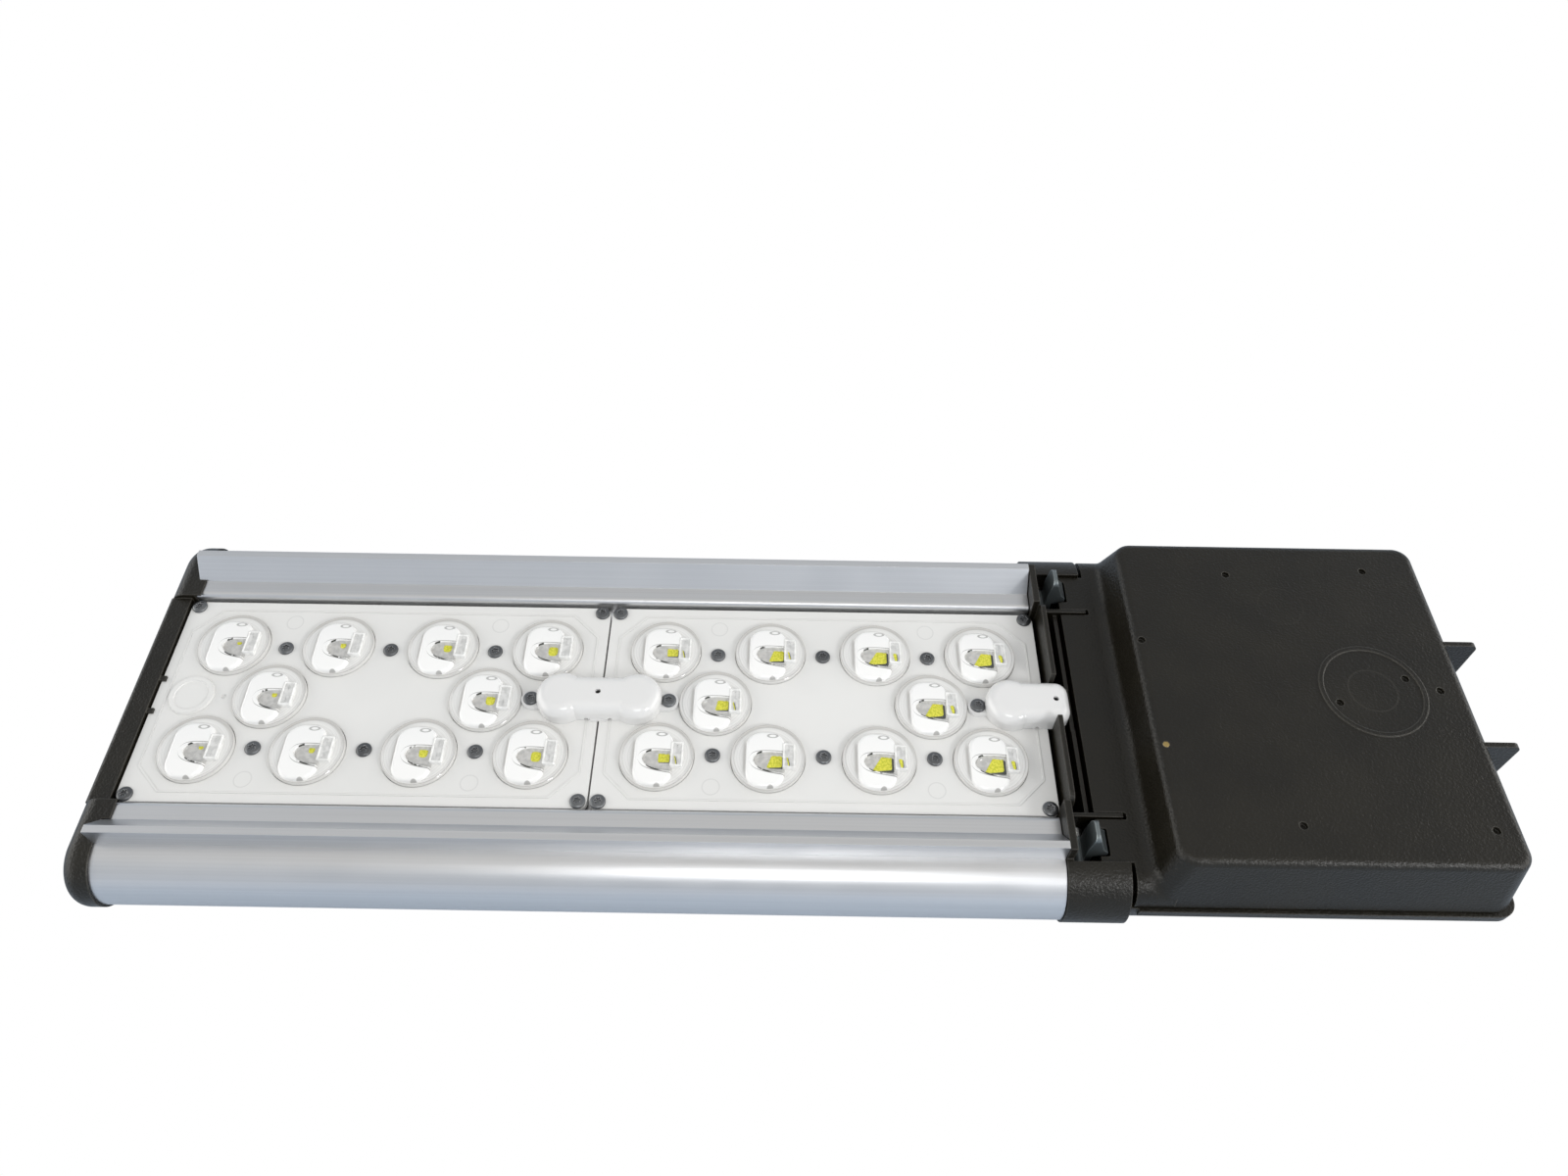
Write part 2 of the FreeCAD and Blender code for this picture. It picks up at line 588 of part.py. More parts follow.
def lens_sheet(side):
    cx = side * PLATE_CX
    inset = PLATE_SKIRT_T + SHEET_SIDE_GAP
    sheet = plate_blank(cx, inset, SHEET_BOTTOM, SHEET_TOP, 2.0)
    lenses = []
    for x, y in LENSES:
        lenses += lens(cx + x, y)
    sheet = sheet.fuse(lenses)
    cuts = [eye_outline(cx + x, y, SHEET_BOTTOM - 1, SHEET_BOTTOM + CAVITY_H) for x, y in LENSES]
    cuts += screw_holes(cx, SHEET_BOTTOM - 1, SHEET_TOP + 1, SCREW_SLACK)
    cuts += [disc(cx + x, y, SHEET_BOTTOM - 1, SHEET_TOP + 1, SCREW_HEAD_D / 2 + 0.3)
             for x, y in PLATE_SCREWS[:4]]
    cuts += [disc(cx + s * WIRE_ENTRY_DX, 0, SHEET_BOTTOM - 1, SHEET_TOP + 1, WIRE_HOLE_D / 2) for s in SIDES]
    return sheet.cut(cuts).removeSplitter()


def plate_gasket(side):
    cx = side * PLATE_CX
    ring = plate_blank(cx, 0.2, BASE_TOP, SKIRT_BOTTOM, PLATE_CORNER_R - 0.2)
    ring = ring.cut(plate_blank(cx, GASKET_W, BASE_TOP - 1, SKIRT_BOTTOM + 1, 2.0))
    pads = [disc(cx + x, y, BASE_TOP, SKIRT_BOTTOM, SCREW_HEAD_D / 2) for x, y in PLATE_SCREWS[:4]]
    ring = ring.fuse(pads)
    return ring.cut(screw_holes(cx, BASE_TOP - 1, SKIRT_BOTTOM + 1, SCREW_SLACK)).removeSplitter()


def led_board(side):
    cx = side * PLATE_CX
    board = plate_blank(cx, BOARD_INSET, BASE_TOP, BASE_TOP + BOARD_T, 2.0)
    cuts = screw_holes(cx, BASE_TOP - 1, BASE_TOP + BOARD_T + 1, SCREW_SLACK)
    cuts += [disc(cx + x, y, BASE_TOP - 1, BASE_TOP + BOARD_T + 1, SCREW_HEAD_D / 2 + 0.5)
             for x, y in PLATE_SCREWS[:4]]
    cuts += [disc(cx + s * WIRE_ENTRY_DX, 0, BASE_TOP - 1, BASE_TOP + BOARD_T + 1, WIRE_HOLE_D / 2)
             for s in SIDES]
    return board.cut(cuts).removeSplitter()


def leds(side):
    cx = side * PLATE_CX
    top = BASE_TOP + BOARD_T
    chips = []
    for x, y in LENSES:
        x0, half = cx + x + LED_X, LED_W / 2
        chips.append(box(x0 - half, x0 + half, y - half, y + half, top, top + LED_H))
    return Part.makeCompound(chips)


def plate_screws(side):
    cx = side * PLATE_CX
    depth = PLATE_TOP - BASE_BOTTOM - 0.5
    return Part.makeCompound([pan_screw(Vector(cx + x, y, PLATE_TOP), ALONG_Z, SCREW_HEAD_D, SCREW_HEAD_H,
                                        SCREW_D, depth, SCREW_CROWN) for x, y in PLATE_SCREWS])


def ear_screw_points():
    """The three screws that hold the wire covers: two on the bridge, one on the end cover."""
    return [(-PLATE_CX + EAR_SCREW_DX, 0.0), (PLATE_CX - EAR_SCREW_DX, 0.0), (PLATE_CX + EAR_SCREW_DX, 0.0)]


def cover_screws():
    depth = EAR_TOP - BASE_BOTTOM - 0.5
    return Part.makeCompound([pan_screw(Vector(x, y, EAR_TOP), ALONG_Z, SCREW_HEAD_D, SCREW_HEAD_H, SCREW_D,
                                        depth, SCREW_CROWN) for x, y in ear_screw_points()])


# Wire covers

def cover_shell(plan, inner_plan):
    """A moulded cover: the plan raised to the cover's height, top edges rounded, hollow from below."""
    top = PLATE_TOP + COVER_H
    outer = plan(PLATE_TOP, top)
    outer = outer.makeFillet(COVER_ROUND, [e for e in outer.Edges if e.BoundBox.ZMin > top - 1e-3])
    inner = inner_plan(PLATE_TOP - 1, top - COVER_T)
    rim = [e for e in inner.Edges if e.BoundBox.ZMin > top - COVER_T - 1e-3]
    inner = inner.makeFillet(COVER_ROUND - COVER_T, rim)
    return outer, inner


def ear(x, towards):
    """A screw ear at x, joined to the cover on the side given by towards."""
    r = EAR_D / 2
    tongue = box(min(x, x + towards * 8), max(x, x + towards * 8), -r, r, PLATE_TOP, EAR_TOP)
    return disc(x, 0, PLATE_TOP, EAR_TOP, r).fuse(tongue)


def ear_holes(x):
    """The ear's screw hole and the room its head takes out of the cover's wall."""
    return [disc(x, 0, PLATE_TOP - 1, EAR_TOP + 1, SCREW_D / 2 + SCREW_SLACK),
            disc(x, 0, EAR_TOP, EAR_TOP + SCREW_HEAD_H + 0.4, SCREW_HEAD_D / 2 + 0.15)]


def ridge_slots(x):
    """Slots in a cover's foot over one of the plate's ridges, through both walls."""
    return box(x - COVER_SLOT_W / 2, x + COVER_SLOT_W / 2, -COVER_BULB_D / 2 - 1, COVER_BULB_D / 2 + 1,
               PLATE_TOP - 1, PLATE_TOP + COVER_SLOT_H)


def bridge_wire_cover():
    def plan(grow):
        def build(z0, z1):
            bulbs = [disc(s * BRIDGE_BULB_X, 0, z0, z1, COVER_BULB_D / 2 + grow) for s in SIDES]
            half = COVER_WAIST_W / 2 + grow
            waist = box(-BRIDGE_BULB_X, BRIDGE_BULB_X, -half, half, z0, z1)
            return fuse([waist] + bulbs)
        return build
    outer, inner = cover_shell(plan(0.0), plan(-COVER_T))
    ridge_x = PLATE_GAP / 2 + RIDGE_INSET + RIDGE_W / 2
    wall_y, reach = COVER_WAIST_W / 2, ridge_x - COVER_SLOT_W
    added = [ear(x, -1 if x > 0 else 1) for x, _ in ear_screw_points()[:2]]
    added += [at_side(box(-reach, reach, wall_y - COVER_T, wall_y + COVER_TONGUE_T, PLATE_TOP,
                          PLATE_TOP + COVER_TONGUE_H), side) for side in SIDES]
    cuts = [inner, disc(0, 0, PLATE_TOP, PLATE_TOP + COVER_H + 1, COVER_PIN_D / 2)]
    for x, _ in ear_screw_points()[:2]:
        cuts += ear_holes(x)
    cuts += [ridge_slots(s * ridge_x) for s in SIDES]
    return outer.fuse(added).cut(cuts).removeSplitter()


def end_wire_cover():
    bulb_x = PLATE_CX + WIRE_ENTRY_DX
    def plan(grow):
        def build(z0, z1):
            half = END_COVER_W / 2 + grow
            bulb = disc(bulb_x, 0, z0, z1, COVER_BULB_D / 2 + grow)
            body = prism_z([(bulb_x, -half), (END_COVER_X1 + grow, -half, half * 0.6),
                            (END_COVER_X1 + grow, half, half * 0.6), (bulb_x, half)], z0, z1)
            return fuse([bulb, body])
        return build
    outer, inner = cover_shell(plan(0.0), plan(-COVER_T))
    x = ear_screw_points()[2][0]
    cuts = [inner, ridge_slots(PLATE_GAP / 2 + PLATE_L - RIDGE_INSET - RIDGE_W / 2)] + ear_holes(x)
    cuts.append(disc(END_COVER_X1 - 8, 0, PLATE_TOP, PLATE_TOP + COVER_H + 1, COVER_PIN_D / 2))
    return outer.fuse([ear(x, 1)]).cut(cuts).removeSplitter()


def blank_plug():
    x = -PLATE_CX - WIRE_ENTRY_DX
    r = PLUG_RING_D / 2
    corners = [(0, PLATE_TOP), (0, PLATE_TOP + PLUG_H * 0.6), (PLUG_DISC_D / 2, PLATE_TOP + PLUG_H * 0.6),
               (PLUG_DISC_D / 2 + 0.4, PLATE_TOP + PLUG_H), (r - 0.6, PLATE_TOP + PLUG_H), (r, PLATE_TOP)]
    ring = revolved(corners, Vector(x, 0, 0), ALONG_Z)
    stem = disc(x, 0, SHEET_BOTTOM, PLATE_TOP + 0.2, WIRE_HOLE_D / 2 - LENS_FIT)
    return fuse([ring, stem])


# Upper housing

def pan_section(inset, top):
    half = [(HOUSING_HALF_W - inset, top),
            (HOUSING_HALF_W - inset, REST_Z + inset, HOUSING_BOTTOM_R - inset)]
    return both_halves(half)


def upper_housing():
    mid_half = HOUSING_HALF_W
    pan = prism_x(pan_section(0.0, RIM_TOP), FRONT_X, HOUSING_X1)
    pan = pan.common(prism_z([(FRONT_X, -mid_half), (HOUSING_X1, -mid_half, HOUSING_CORNER_R),
                              (HOUSING_X1, mid_half, HOUSING_CORNER_R), (FRONT_X, mid_half)],
                             REST_Z - 1, RIM_TOP + 1))
    solids = [pan]
    for side in SIDES:
        neck = rod_x(FRONT_X, NECK_X1, RAIL_Y, RAIL_Z, NECK_R)
        neck = neck.cut(box(FRONT_X + FRONT_T, NECK_X1 + 1, 0, POCKET_Y, RAIL_Z, OVERSIZE))
        neck = neck.cut(box(FRONT_X - 1, NECK_X1 + 1, 0, MID_WALL_Y, RAIL_Z, OVERSIZE))
        step = box(FRONT_X, FRONT_X + FRONT_T, MID_WALL_Y, RAIL_Y, RIM_TOP - 1, FLANGE_TOP_Z - 1)
        solids += [at_side(neck, side), at_side(step, side)]
    solids.append(prism_x(rectangle(-MID_WALL_Y, MID_WALL_Y, RIM_TOP - 6, FRONT_TOP_Z, 5.0),
                          MID_WALL_X, MID_WALL_X + MID_WALL_T))
    solids.append(box(FRONT_X, MID_WALL_X + MID_WALL_T, -MID_WALL_Y, MID_WALL_Y, BASE_BOTTOM - 6, BASE_BOTTOM - 1))
    rim = prism_z([(BULKHEAD_X, -RIM_HALF_W), (HOUSING_X1 + RIM_OVERHANG, -RIM_HALF_W, HOUSING_CORNER_R),
                   (HOUSING_X1 + RIM_OVERHANG, RIM_HALF_W, HOUSING_CORNER_R), (BULKHEAD_X, RIM_HALF_W)],
                  RIM_TOP - RIM_H, RIM_TOP)
    solids.append(rim)
    body = fuse(solids)

    wall = HOUSING_WALL
    inner_half = HOUSING_HALF_W - wall
    inner_x1 = HOUSING_X1 - wall
    room = prism_x(pan_section(wall, RIM_TOP + 60), BULKHEAD_X + BULKHEAD_T, inner_x1)
    room = room.common(prism_z([(BULKHEAD_X + BULKHEAD_T, -inner_half, 3), (inner_x1, -inner_half, 10),
                                (inner_x1, inner_half, 10), (BULKHEAD_X + BULKHEAD_T, inner_half, 3)],
                               REST_Z, OVERSIZE))
    bay = prism_x(pan_section(wall, RAIL_Z + 60), FRONT_X + FRONT_T, BULKHEAD_X)
    bay = bay.cut(box(FRONT_X, MID_WALL_X + MID_WALL_T, -MID_WALL_Y, MID_WALL_Y, RIM_TOP - 6, OVERSIZE))
    for side in SIDES:
        keep = rod_x(FRONT_X, NECK_X1 + 1, RAIL_Y, RAIL_Z, OVERSIZE)
        keep = keep.cut(rod_x(FRONT_X - 1, NECK_X1 - wall, RAIL_Y, RAIL_Z, NECK_R - wall))
        keep = keep.common(box(FRONT_X, NECK_X1, RAIL_Y, OVERSIZE, RIM_TOP, OVERSIZE))
        keep_wall = box(FRONT_X, NECK_X1, POCKET_Y, POCKET_Y + 2.4, RIM_TOP - 10, 40)
        bay = bay.cut([at_side(keep, side), at_side(keep_wall, side)])
    body = body.cut([room, bay])

    ribs = []
    for side in SIDES:
        y0 = RIB_Y - RIB_T / 2
        rib = prism_y([(FRONT_X + 1, REST_Z + 1), (BULKHEAD_X + 1, REST_Z + 1), (BULKHEAD_X + 1, RIM_TOP - 1),
                       (RIB_X1, RIM_TOP - 1), (RIB_X1, RIB_TOP_Z), (FRONT_X + FRONT_T + 2, RIB_TOP_Z),
                       (FRONT_X + 1, RIB_TOP_Z)], y0, y0 + RIB_T)
        ribs.append(at_side(rib, side))
    lip = box(LIP_X, LIP_X + LIP_T, -RIB_Y, RIB_Y, REST_Z + 1, LIP_TOP_Z)
    cradle_x0, cradle_x1 = ARM_X - CLAMP_L / 2, ARM_X + CLAMP_L / 2
    cradle_top = ARM_Z - STRAP_EDGE_GAP
    cradle = box(cradle_x0, cradle_x1, -CLAMP_EAR_Y, CLAMP_EAR_Y, REST_Z + 1, cradle_top)
    stop = box(cradle_x0 - ARM_STOP_T, cradle_x0 + 0.5, -ARM_D / 3, ARM_D / 3, REST_Z + 1, ARM_Z)
    lugs = []
    for side in SIDES:
        y0 = ARM_PLATE_Y + ARM_PLATE_T + LUG_GAP
        lug = prism_y([(HOUSING_X1 - 1, HINGE_Z + HINGE_R), (HINGE_X + HINGE_R, HINGE_Z + HINGE_R, HINGE_R - 0.1),
                       (HINGE_X + HINGE_R, HINGE_Z - HINGE_R, HINGE_R - 0.1),
                       (HOUSING_X1 - 1, HINGE_Z - 2 * HINGE_R)], y0, y0 + LUG_T)
        lugs.append(at_side(lug, side))
    body = fuse([body] + ribs + [lip, cradle, stop] + lugs)

    cuts = [rod_x(cradle_x0, HOUSING_X1 + 30, 0, ARM_Z, CLAMP_R)]
    pass_r = ARM_D / 2 + ARM_PASS_GAP
    cuts.append(rod_x(inner_x1 - 1, HOUSING_X1 + 5, 0, ARM_Z, pass_r))
    cuts.append(box(inner_x1 - 1, HOUSING_X1 + 5, -pass_r, pass_r, ARM_Z, RIM_TOP + 5))
    arm_side = ARM_PLATE_Y + ARM_PLATE_T + LUG_GAP
    for side in SIDES:
        arm_room = box(HOUSING_X1 + 0.1, HOUSING_X1 + 20, 0, arm_side, REST_Z + 5, RIM_TOP + 5)
        cuts.append(at_side(arm_room, side))
        cuts.append(at_side(rod_y(arm_side - 1, arm_side + LUG_T + 1, HINGE_X, HINGE_Z,
                                  HINGE_PIN_D / 2 + SCREW_HOLE_GAP), side))
        cuts.append(at_side(rod_y(RIB_Y - 3, POCKET_Y + LATCH_PIN_OVERRUN + 0.2, LATCH_PIVOT_X, LATCH_PIVOT_Z,
                                  LATCH_PIN_D / 2 + SCREW_HOLE_GAP), side))
        for y, z in port_centres():
            cuts.append(at_side(rod_x(FRONT_X - 1, FRONT_X + FRONT_T + 1, y, z, PORT_SCREW_D / 2 + SCREW_SLACK),
                                side))
        for dx in SIDES:
            cuts.append(disc(ARM_X + dx * CLAMP_BOLT_SPAN_X / 2, side * CLAMP_BOLT_Y, REST_Z + 8, ARM_Z + 5,
                             CLAMP_BOLT_D / 2 + SCREW_HOLE_GAP))
    cover_half = END_COVER_W / 2 + 0.5
    cuts.append(box(FRONT_X - 1, LIP_X + LIP_T + 1, -cover_half, cover_half, PLATE_TOP - 0.3, FRONT_TOP_Z + 1))
    cuts.append(rod_x(BULKHEAD_X - 1, BULKHEAD_X + BULKHEAD_T + 1, 0, GROMMET_Z, GROMMET_HOLE_D / 2))
    cuts.append(disc(GROUND_AT[0], GROUND_AT[1], REST_Z + 1.0, FLOOR_Z + 9, SCREW_D / 2 + SCREW_HOLE_GAP))
    return body.cut(cuts).removeSplitter()


def wire_grommet():
    r = GROMMET_HOLE_D / 2
    half = BULKHEAD_T / 2
    corners = [(r - 4, -half - 2), (r + 2, -half - 2), (r + 2, -half), (r - 0.05, -half), (r - 0.05, half),
               (r + 2, half), (r + 2, half + 2), (r - 4, half + 2)]
    return revolved(corners, Vector(BULKHEAD_X + half, 0, GROMMET_Z), ALONG_X)


def clamp_strap():
    x0, x1 = ARM_X - CLAMP_L / 2, ARM_X + CLAMP_L / 2
    seat = ARM_Z + STRAP_EDGE_GAP
    arch = rod_x(x0, x1, 0, ARM_Z, CLAMP_R + STRAP_T)
    ears = box(x0, x1, -CLAMP_EAR_Y, CLAMP_EAR_Y, seat, seat + STRAP_EAR_T)
    strap = arch.cut(box(x0 - 1, x1 + 1, -OVERSIZE, OVERSIZE, ARM_Z - OVERSIZE, seat)).fuse(ears)
    cuts = [rod_x(x0 - 1, x1 + 1, 0, ARM_Z, CLAMP_R)]
    for side in SIDES:
        for dx in SIDES:
            cuts.append(disc(ARM_X + dx * CLAMP_BOLT_SPAN_X / 2, side * CLAMP_BOLT_Y, seat - 1,
                             seat + STRAP_EAR_T + 1, CLAMP_BOLT_D / 2 + SCREW_SLACK))
    return strap.cut(cuts).removeSplitter()


def clamp_bolts():
    seat = ARM_Z + STRAP_EDGE_GAP + STRAP_EAR_T
    depth = seat - REST_Z - 9
    bolts = []
    for side in SIDES:
        for dx in SIDES:
            x, y = ARM_X + dx * CLAMP_BOLT_SPAN_X / 2, side * CLAMP_BOLT_Y
            r = CLAMP_BOLT_HEAD_D / 2 / math.cos(math.radians(30))
            hexagon = [(x + r * math.cos(math.radians(60 * k)), y + r * math.sin(math.radians(60 * k)))
                       for k in range(6)]
            head = prism_z(hexagon, seat, seat + CLAMP_BOLT_HEAD_H)
            bolts.append(fuse([head, disc(x, y, seat - depth, seat + 1, CLAMP_BOLT_D / 2)]))
    return Part.makeCompound(bolts)


# Door

def door_box(inset, bottom):
    """The door's raised box: drafted sides, rounded top edges, grown inwards by inset."""
    low, top = SEAM_Z, DOOR_TOP_Z - inset
    rate = 1.0 / (DOOR_TOP_Z - SEAM_Z)

    def ring(z):
        t = (z - low) * rate
        x0 = DOOR_FOOT_X + (DOOR_TOP_X0 - DOOR_FOOT_X) * t + inset
        x1 = DOOR_X1 + (DOOR_TOP_X1 - DOOR_X1) * t - inset
        y1 = DOOR_HALF_W + (DOOR_TOP_HALF_W - DOOR_HALF_W) * t - inset
        face = outline(rectangle(x0, x1, -y1, y1, DOOR_CORNER_R - inset), lambda a, b: Vector(a, b, z))
        return face.OuterWire

    form = Part.makeLoft([ring(bottom), ring(top)], True, True)
    edges = [e for e in form.Edges if e.BoundBox.ZMin > top - 1e-3]
    return form.makeFillet(DOOR_ROUND - inset, edges)


def apron(inset, x0, x1, bottom):
    half_w = DOOR_HALF_W - inset
    half = [(half_w, APRON_TOP_Z - inset, APRON_EDGE_R - inset), (half_w, bottom)]
    return prism_x(both_halves(half), x0, x1)


def hinge_plate():
    """One hinge arm of the door, in the XZ plane, with the round eye for its pin."""
    x0 = DOOR_TOP_X1 - 3
    corners = [(x0, DOOR_TOP_Z - 0.4), (ARM_PLATE_X1, DOOR_TOP_Z - 0.4, ARM_PLATE_ROUND),
               (ARM_PLATE_X1, HINGE_Z - HINGE_R, HINGE_R - 0.1),
               (HINGE_X - HINGE_R, HINGE_Z - HINGE_R, HINGE_R - 0.1), (HINGE_X - HINGE_R, SEAM_Z + 1, 3.0),
               (x0, SEAM_Z + 1)]
    return prism_y(corners, ARM_PLATE_Y, ARM_PLATE_Y + ARM_PLATE_T)


def door():
    outer = fuse([apron(0.0, DOOR_X0, DOOR_TOP_X0 + 4, SEAM_Z), door_box(0.0, SEAM_Z)])
    foot = [e for e in outer.Edges
            if abs(e.BoundBox.ZMin - APRON_TOP_Z) < 0.01 and abs(e.BoundBox.ZMax - APRON_TOP_Z) < 0.01
            and DOOR_FOOT_X < e.BoundBox.XMin and e.BoundBox.YLength > DOOR_TOP_HALF_W]
    outer = outer.makeFillet(FOOT_ROUND, foot)
    skirt = BULKHEAD_X
    behind_skirt = box(skirt + DOOR_WALL, 2 * OVERSIZE, -OVERSIZE, OVERSIZE, -OVERSIZE, OVERSIZE)
    cuts = [door_box(DOOR_WALL, SEAM_Z - 6).common(behind_skirt),
            apron(APRON_T, DOOR_X0 + APRON_T, skirt, SEAM_Z - 1)]
    for side in SIDES:
        corner = box(DOOR_X0 - 1, APRON_STEP_X, POCKET_Y - 0.6, OVERSIZE, -OVERSIZE, OVERSIZE)
        slot = prism_z(rectangle(DOOR_X0 - 10, RIB_SLOT_X1, RIB_Y - RIB_SLOT_W / 2, RIB_Y + RIB_SLOT_W / 2, 0.8),
                       -OVERSIZE, OVERSIZE)
        notch = prism_z(rectangle(DOOR_X0 - 10, LATCH_NOTCH_X1, LATCH_NOTCH_Y[0], LATCH_NOTCH_Y[1], 1.0),
                        -OVERSIZE, OVERSIZE)
        cuts += [at_side(corner, side), at_side(slot, side), at_side(notch, side)]
    cuts.append(box(DOOR_X0 - 1, DOOR_X0 + APRON_T + 1, -OVERSIZE, OVERSIZE, SEAM_Z - 1,
                    APRON_TOP_Z - APRON_LIP_DROP))
    shell = outer.cut(cuts)

    side_walls = []
    for side in SIDES:
        side_walls.append(at_side(box(DOOR_X0 + APRON_T - 0.5, APRON_STEP_X + APRON_T, POCKET_Y - 0.6 - APRON_T,
                                      POCKET_Y - 0.6, SEAM_Z + 3, APRON_TOP_Z - 1), side))
        side_walls.append(at_side(box(APRON_STEP_X, APRON_STEP_X + APRON_T, POCKET_Y - 0.6 - APRON_T,
                                      DOOR_HALF_W - 6, SEAM_Z + 3, APRON_TOP_Z - 2), side))
        side_walls.append(at_side(hinge_plate(), side))
    ring = disc(RING_X, 0, DOOR_TOP_Z - 0.5, DOOR_TOP_Z + RING_H, RING_R + RING_W / 2)
    ring = ring.cut(disc(RING_X, 0, DOOR_TOP_Z - 1, DOOR_TOP_Z + 1, RING_R - RING_W / 2))
    shell = shell.fuse(side_walls + [ring])

    holes = [disc(DOOR_X0 + x, y, DOOR_TOP_Z - PILOT_DEPTH, DOOR_TOP_Z + 1, PILOT_D / 2)
             for x, y in PILOTS_FROM_DOOR_X0]
    holes.append(disc(BRASS_AT[0], BRASS_AT[1], DOOR_TOP_Z - 10, DOOR_TOP_Z + 1, BRASS_D / 2 + SCREW_HOLE_GAP))
    inner_top = DOOR_TOP_Z - DOOR_WALL
    for x, y in driver_screw_points():
        holes.append(disc(x, y, inner_top - 1, inner_top + DOOR_WALL * 0.6, SCREW_D / 2 + SCREW_HOLE_GAP))
    pass_half = ARM_PLATE_Y
    holes.append(prism_x([(-pass_half, SEAM_Z - 1), (-pass_half, PIPE_NOTCH_TOP_Z, PIPE_NOTCH_R),
                          (pass_half, PIPE_NOTCH_TOP_Z, PIPE_NOTCH_R), (pass_half, SEAM_Z - 1)],
                         DOOR_TOP_X1 - 12, DOOR_X1 + 5))
    for side in SIDES:
        holes.append(at_side(rod_y(ARM_PLATE_Y - 1, ARM_PLATE_Y + ARM_PLATE_T + 1, HINGE_X, HINGE_Z,
                                   HINGE_PIN_D / 2 + HINGE_PIN_GAP), side))
    return shell.cut(holes).removeSplitter()


def door_gasket():
    """The seal on the door's rim, cut away where the arm passes."""
    grow = DOOR_WALL + 0.6
    x0 = BULKHEAD_X + 0.6
    z0, z1 = SEAM_Z - DOOR_GASKET_T, SEAM_Z
    ring = prism_z([(x0, -DOOR_HALF_W + 0.5, 1.0), (DOOR_X1 - 0.5, -DOOR_HALF_W + 0.5, DOOR_CORNER_R - 0.5),
                    (DOOR_X1 - 0.5, DOOR_HALF_W - 0.5, DOOR_CORNER_R - 0.5), (x0, DOOR_HALF_W - 0.5, 1.0)], z0, z1)
    x2, y2 = DOOR_X1 - grow, DOOR_HALF_W - grow
    ring = ring.cut(prism_z([(x0 + grow, -y2, 1.0), (x2, -y2, DOOR_CORNER_R - grow), (x2, y2, DOOR_CORNER_R - grow),
                             (x0 + grow, y2, 1.0)], z0 - 1, z1 + 1))
    half = ARM_PLATE_Y + ARM_PLATE_T + LUG_GAP + LUG_T + LUG_GAP
    return ring.cut(box(DOOR_TOP_X1 - 10, DOOR_X1 + 1, -half, half, z0 - 1, z1 + 1))


def hinge_pins():
    pins = []
    for side in SIDES:
        y0 = ARM_PLATE_Y + 0.3
        y1 = ARM_PLATE_Y + ARM_PLATE_T + LUG_GAP + LUG_T
        shank = rod_y(y0, y1 + 1, HINGE_X, HINGE_Z, HINGE_PIN_D / 2)
        head = rod_y(y1 + 0.05, y1 + 2, HINGE_X, HINGE_Z, HINGE_PIN_D / 2 + 1.6)
        pins.append(at_side(fuse([shank, head]), side))
    return Part.makeCompound(pins)


# Latches

def latch(side):
    y0, y1 = LATCH_Y
    x0, x1 = LATCH_BLADE_X, LATCH_BLADE_X + LATCH_BLADE_T
    ridge_x = x0 + LATCH_RIDGE_SET
    profile = [(x0, LATCH_PIVOT_Z), (x0, LATCH_BACK_Z, 3.0), (ridge_x, LATCH_TOP_Z, 0.8),
               (ridge_x + LATCH_RIDGE_W, LATCH_TOP_Z, 0.8), (HOOK_X1 - HOOK_BEVEL, HOOK_Z[1], 2.0),
               (HOOK_X1, HOOK_Z[1] - HOOK_BEVEL, 1.0), (HOOK_X1, HOOK_Z[0] + 2, 1.0), (x1, HOOK_Z[0]),
               (x1, LATCH_PIVOT_Z)]
    face = prism_x([(y0, LATCH_PIVOT_Z), (y1, LATCH_PIVOT_Z), (y1, LATCH_TOP_Z, LATCH_TOP_ROUND),
                    (y0, LATCH_TOP_Z, LATCH_TOP_ROUND)], x0 - 1, HOOK_X1 + 1)
    blade = prism_y(profile, y0, y1).common(face)
    boss = rod_y(y0 - LATCH_BOSS_REACH, y1 + LATCH_BOSS_REACH, LATCH_PIVOT_X, LATCH_PIVOT_Z, LATCH_BOSS_R)
    bore = rod_y(y0 - 3, y1 + 3, LATCH_PIVOT_X, LATCH_PIVOT_Z, LATCH_PIN_D / 2 + LATCH_PIN_GAP)
    return at_side(fuse([blade, boss]).cut(bore), side)


def latch_pin(side):
    return at_side(rod_y(RIB_Y - RIB_T / 2, POCKET_Y + LATCH_PIN_OVERRUN, LATCH_PIVOT_X, LATCH_PIVOT_Z,
                         LATCH_PIN_D / 2), side)


def latch_spring(side):
    """A torsion spring's close-wound coil round the latch's pin, its turns drawn as rings that run together."""
    y0 = LATCH_Y[0] - LATCH_BOSS_REACH - LATCH_SIDE_GAP - SPRING_WIRE_D / 2
    turns = [Part.makeTorus(SPRING_R, SPRING_WIRE_D / 2, Vector(LATCH_PIVOT_X, y0 - i * SPRING_PITCH, LATCH_PIVOT_Z),
                            ALONG_Y) for i in range(SPRING_TURNS)]
    return at_side(fuse(turns), side)


# Driver and wiring gear

def driver_screw_points():
    return [(DRIVER_X + dx * DRIVER_SCREW_SPAN / 2, s * (DRIVER_HALF_L + DRIVER_EAR_L / 2))
            for dx in SIDES for s in SIDES]


